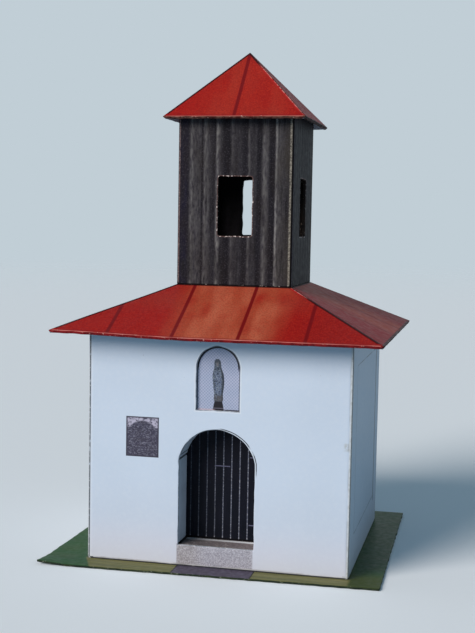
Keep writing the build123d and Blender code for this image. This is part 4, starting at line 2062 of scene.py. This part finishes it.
@dataclass
class Studio:
    """A pale floor that fades into the background, soft light and the camera.

    Attributes:
        paper: The floor's own colour.
        bounce: The colour that it throws back onto the model.
        shown: The background's colour, the same as the lit floor's.
        sky: The colour of the soft light from all round.
        glow: The strength of that light.
        eye: Where the camera stands, in mm above the base card's top.
        turn: How far the camera turns from straight ahead, in degrees.
        tip: How far it looks up, in degrees.
        roll: How far it leans, in degrees.
        lens: Its focal length for a 36 mm frame height.
    """

    paper: str = "#eef5f9"
    bounce: str = "#8fa9b8"
    shown: str = "#c1ced6"
    sky: str = "#b0d0e6"
    glow: float = 0.36
    eye: tuple[float, float, float] = (40.17, -183.66, 51.85)
    turn: float = -12.718
    tip: float = -4.721
    roll: float = 1.04
    lens: float = 66.38

    def build(self, base: float) -> None:
        """Makes the floor, the light and the camera.

        Args:
            base: The base card's thickness.
        """
        self._floor()
        self._world()
        self._sun("key_light", left=37, height=27, spread=34, power=3.4, colour="#fff4ed")
        self._camera(base)

    def _seen(self, tree: bpy.types.NodeTree) -> Socket:
        """1 for light that goes straight to the camera or by way of a gloss or a glass.

        Args:
            tree: The node tree that asks.

        Returns:
            The mask.
        """
        path = add_node(tree, "LightPath").outputs
        seen = path["Is Camera Ray"]
        for way in ("Is Glossy Ray", "Is Transmission Ray"):
            seen = add_node(tree, "Math", {0: seen, 1: path[way]}, operation="MAXIMUM").outputs[0]
        return seen

    def _floor(self) -> None:
        """A disc: rings of points from the middle to 4 m, on a grid of radius and angle."""
        around, reach = 96, np.array([0.05, 0.2, 0.5, 1.0, 2.0, 4.0])
        turn = np.linspace(0, 2 * np.pi, around, endpoint=False)
        ring = np.stack([np.cos(turn), np.sin(turn), np.zeros(around)], axis=1)
        points = np.concatenate([np.zeros((1, 3)), (reach[:, None, None] * ring).reshape(-1, 3)])
        number = 1 + np.arange(len(reach) * around).reshape(-1, around)
        on = np.roll(number, -1, axis=1)
        quads = np.stack([number[:-1], number[1:], on[1:], on[:-1]], axis=-1).reshape(-1, 4)
        middle = np.stack([np.zeros(around, int), number[0], on[0]], axis=-1)
        mesh = bpy.data.meshes.new("studio_floor")
        mesh.from_pydata(points.tolist(), [], middle.tolist() + quads.tolist())
        floor = bpy.data.objects.new("studio_floor", mesh)
        bpy.context.scene.collection.objects.link(floor)
        mesh.materials.append(self._paper())

    def _paper(self) -> Material:
        """Matt paper that throws little light back up and fades away between 0.3 and 1.4 m.

        Returns:
            The material.
        """
        material = bpy.data.materials.new("studio_paper")
        material.use_nodes = True
        tree = material.node_tree
        tree.nodes.clear()
        colour = {0: self._seen(tree), MIX_A: linear(self.bounce), MIX_B: linear(self.paper)}
        mixed = add_node(tree, "Mix", colour, data_type="RGBA").outputs[MIX_COLOUR]
        place = add_node(tree, "TexCoord").outputs["Object"]
        away = add_node(tree, "VectorMath", {0: place}, operation="LENGTH").outputs["Value"]
        limits = {0: away, 1: 0.3, 2: 1.4}
        fade = add_node(tree, "MapRange", limits, interpolation_type="SMOOTHSTEP").outputs[0]
        matt = {"Base Color": mixed, "Roughness": 0.95, "Specular IOR Level": 0.1}
        paper = add_node(tree, "BsdfPrincipled", matt)
        clear = add_node(tree, "BsdfTransparent")
        joined = add_node(tree, "MixShader", {0: fade, 1: paper.outputs[0], 2: clear.outputs[0]})
        add_node(tree, "OutputMaterial", {0: joined.outputs[0]})
        return material

    def _world(self) -> None:
        """A cool even sky for light, and the floor's colour where it is looked at."""
        world = bpy.data.worlds.new("studio_world")
        bpy.context.scene.world = world
        world.use_nodes = True
        tree = world.node_tree
        tree.nodes.clear()
        light = add_node(tree, "Background", {0: linear(self.sky), 1: self.glow})
        shown = add_node(tree, "Background", {0: linear(self.shown), 1: 1.0})
        inputs = {0: self._seen(tree), 1: light.outputs[0], 2: shown.outputs[0]}
        mixed = add_node(tree, "MixShader", inputs)
        add_node(tree, "OutputWorld", {0: mixed.outputs[0]})

    def _sun(
        self, name: str, left: float, height: float, spread: float, power: float, colour: str
    ) -> None:
        """A soft light from far away.

        Args:
            name: Its name.
            left: How far round to the left of the front it stands, in degrees.
            height: How far up it stands, in degrees.
            spread: How wide it looks, in degrees: this sets how soft its shadows are.
            power: Its strength.
            colour: Its colour.
        """
        data = bpy.data.lights.new(name, "SUN")
        data.energy, data.angle = power, math.radians(spread)
        data.color = linear(colour)[:3]
        lamp = bpy.data.objects.new(name, data)
        bpy.context.scene.collection.objects.link(lamp)
        shine = Vector(aim(math.radians(left), -math.radians(height)))
        lamp.rotation_euler = shine.to_track_quat("-Z", "Y").to_euler()

    def _camera(self, base: float) -> None:
        """Aims the camera: its back points along minus the view, rolled about it.

        Args:
            base: The base card's thickness.
        """
        turn, tip, roll = (math.radians(a) for a in (self.turn, self.tip, self.roll))
        view = aim(turn, tip)
        level = np.array([math.cos(turn), -math.sin(turn), 0.0])
        upright = np.cross(level, view)
        right = level * math.cos(roll) + upright * math.sin(roll)
        up = upright * math.cos(roll) - level * math.sin(roll)
        data = bpy.data.cameras.new("camera")
        data.sensor_width, data.sensor_fit, data.lens = 36.0, "AUTO", self.lens
        data.clip_start, data.clip_end = 0.01, 20.0
        camera = bpy.data.objects.new("camera", data)
        bpy.context.scene.collection.objects.link(camera)
        matrix = Matrix(np.stack([right, up, -view], axis=1).tolist()).to_4x4()
        matrix.translation = (Vector(self.eye) + Vector((0, 0, base))) * MM
        camera.matrix_world = matrix
        bpy.context.scene.camera = camera
        bpy.context.scene.view_settings.view_transform = "Standard"


def far_corner(node: str) -> Array:
    """The upper corner of a node's box, in mm."""
    return np.array(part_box(node)[1]) / MM


def main() -> None:
    """Loads the frame, and builds the chapel and the studio."""
    logging.basicConfig(level=logging.INFO, format="%(name)s: %(message)s")
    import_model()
    card, lower_rise, upper_rise = 0.5, 7.0, 11.0  # the card's thickness and the roofs' rises
    levels = ("base_card", "roof_deck", "upper_roof_front")
    ground, deck, apex = (far_corner(node)[2] for node in levels)
    walls, tower, lower_eaves, upper_eaves = (
        (far_corner(front)[0], far_corner(right)[1])
        for front, right in (
            ("front_wall", "right_wall"),
            ("tower_front_wall", "tower_right_wall"),
            ("lower_roof_front", "lower_roof_right"),
            ("upper_roof_front", "upper_roof_right"),
        )
    )
    edge = CutEdge("penned_red_card_edge", "#8b1a1d", "#6b1015", "#c98d85", share=0.0)
    seamed = RoofPrint(
        "", pitch=9.77, first=3.8, orange_patches=0.95, brink="#c9817a", top=tower[0], worn=(12.6, 99)
    )
    single = RoofPrint(
        "", pitch=40.0, first=0.05, orange_patches=0.1, brink="#b06a62", top=0.0, worn=(0.8, 12.0),
        base="#950f0e",
    )
    lower = HipRoof(
        "lower_roof", lower_eaves, tower, deck - lower_rise, lower_rise, card, edge, seamed,
        lift=0.42,
    )
    rubbed = CutEdge("rubbed_red_card_edge", "#80594c", "#4f2521", "#b99a8c", share=0.0)
    upper = HipRoof(
        "upper_roof", upper_eaves, (0, 0), apex - upper_rise, upper_rise, card, rubbed, single
    )
    stock = Stock()
    for part in (
        BaseCard(),
        ChapelWalls(*walls, ground, lower, card, flap=4.0),
        Doorway(ground, card),
        NicheCard(ground),
        lower,
        Tower(*tower, deck, upper, card, flap=3.0),
        upper,
    ):
        part.build(stock)
    Studio().build(ground)


if __name__ == "__main__":
    main()
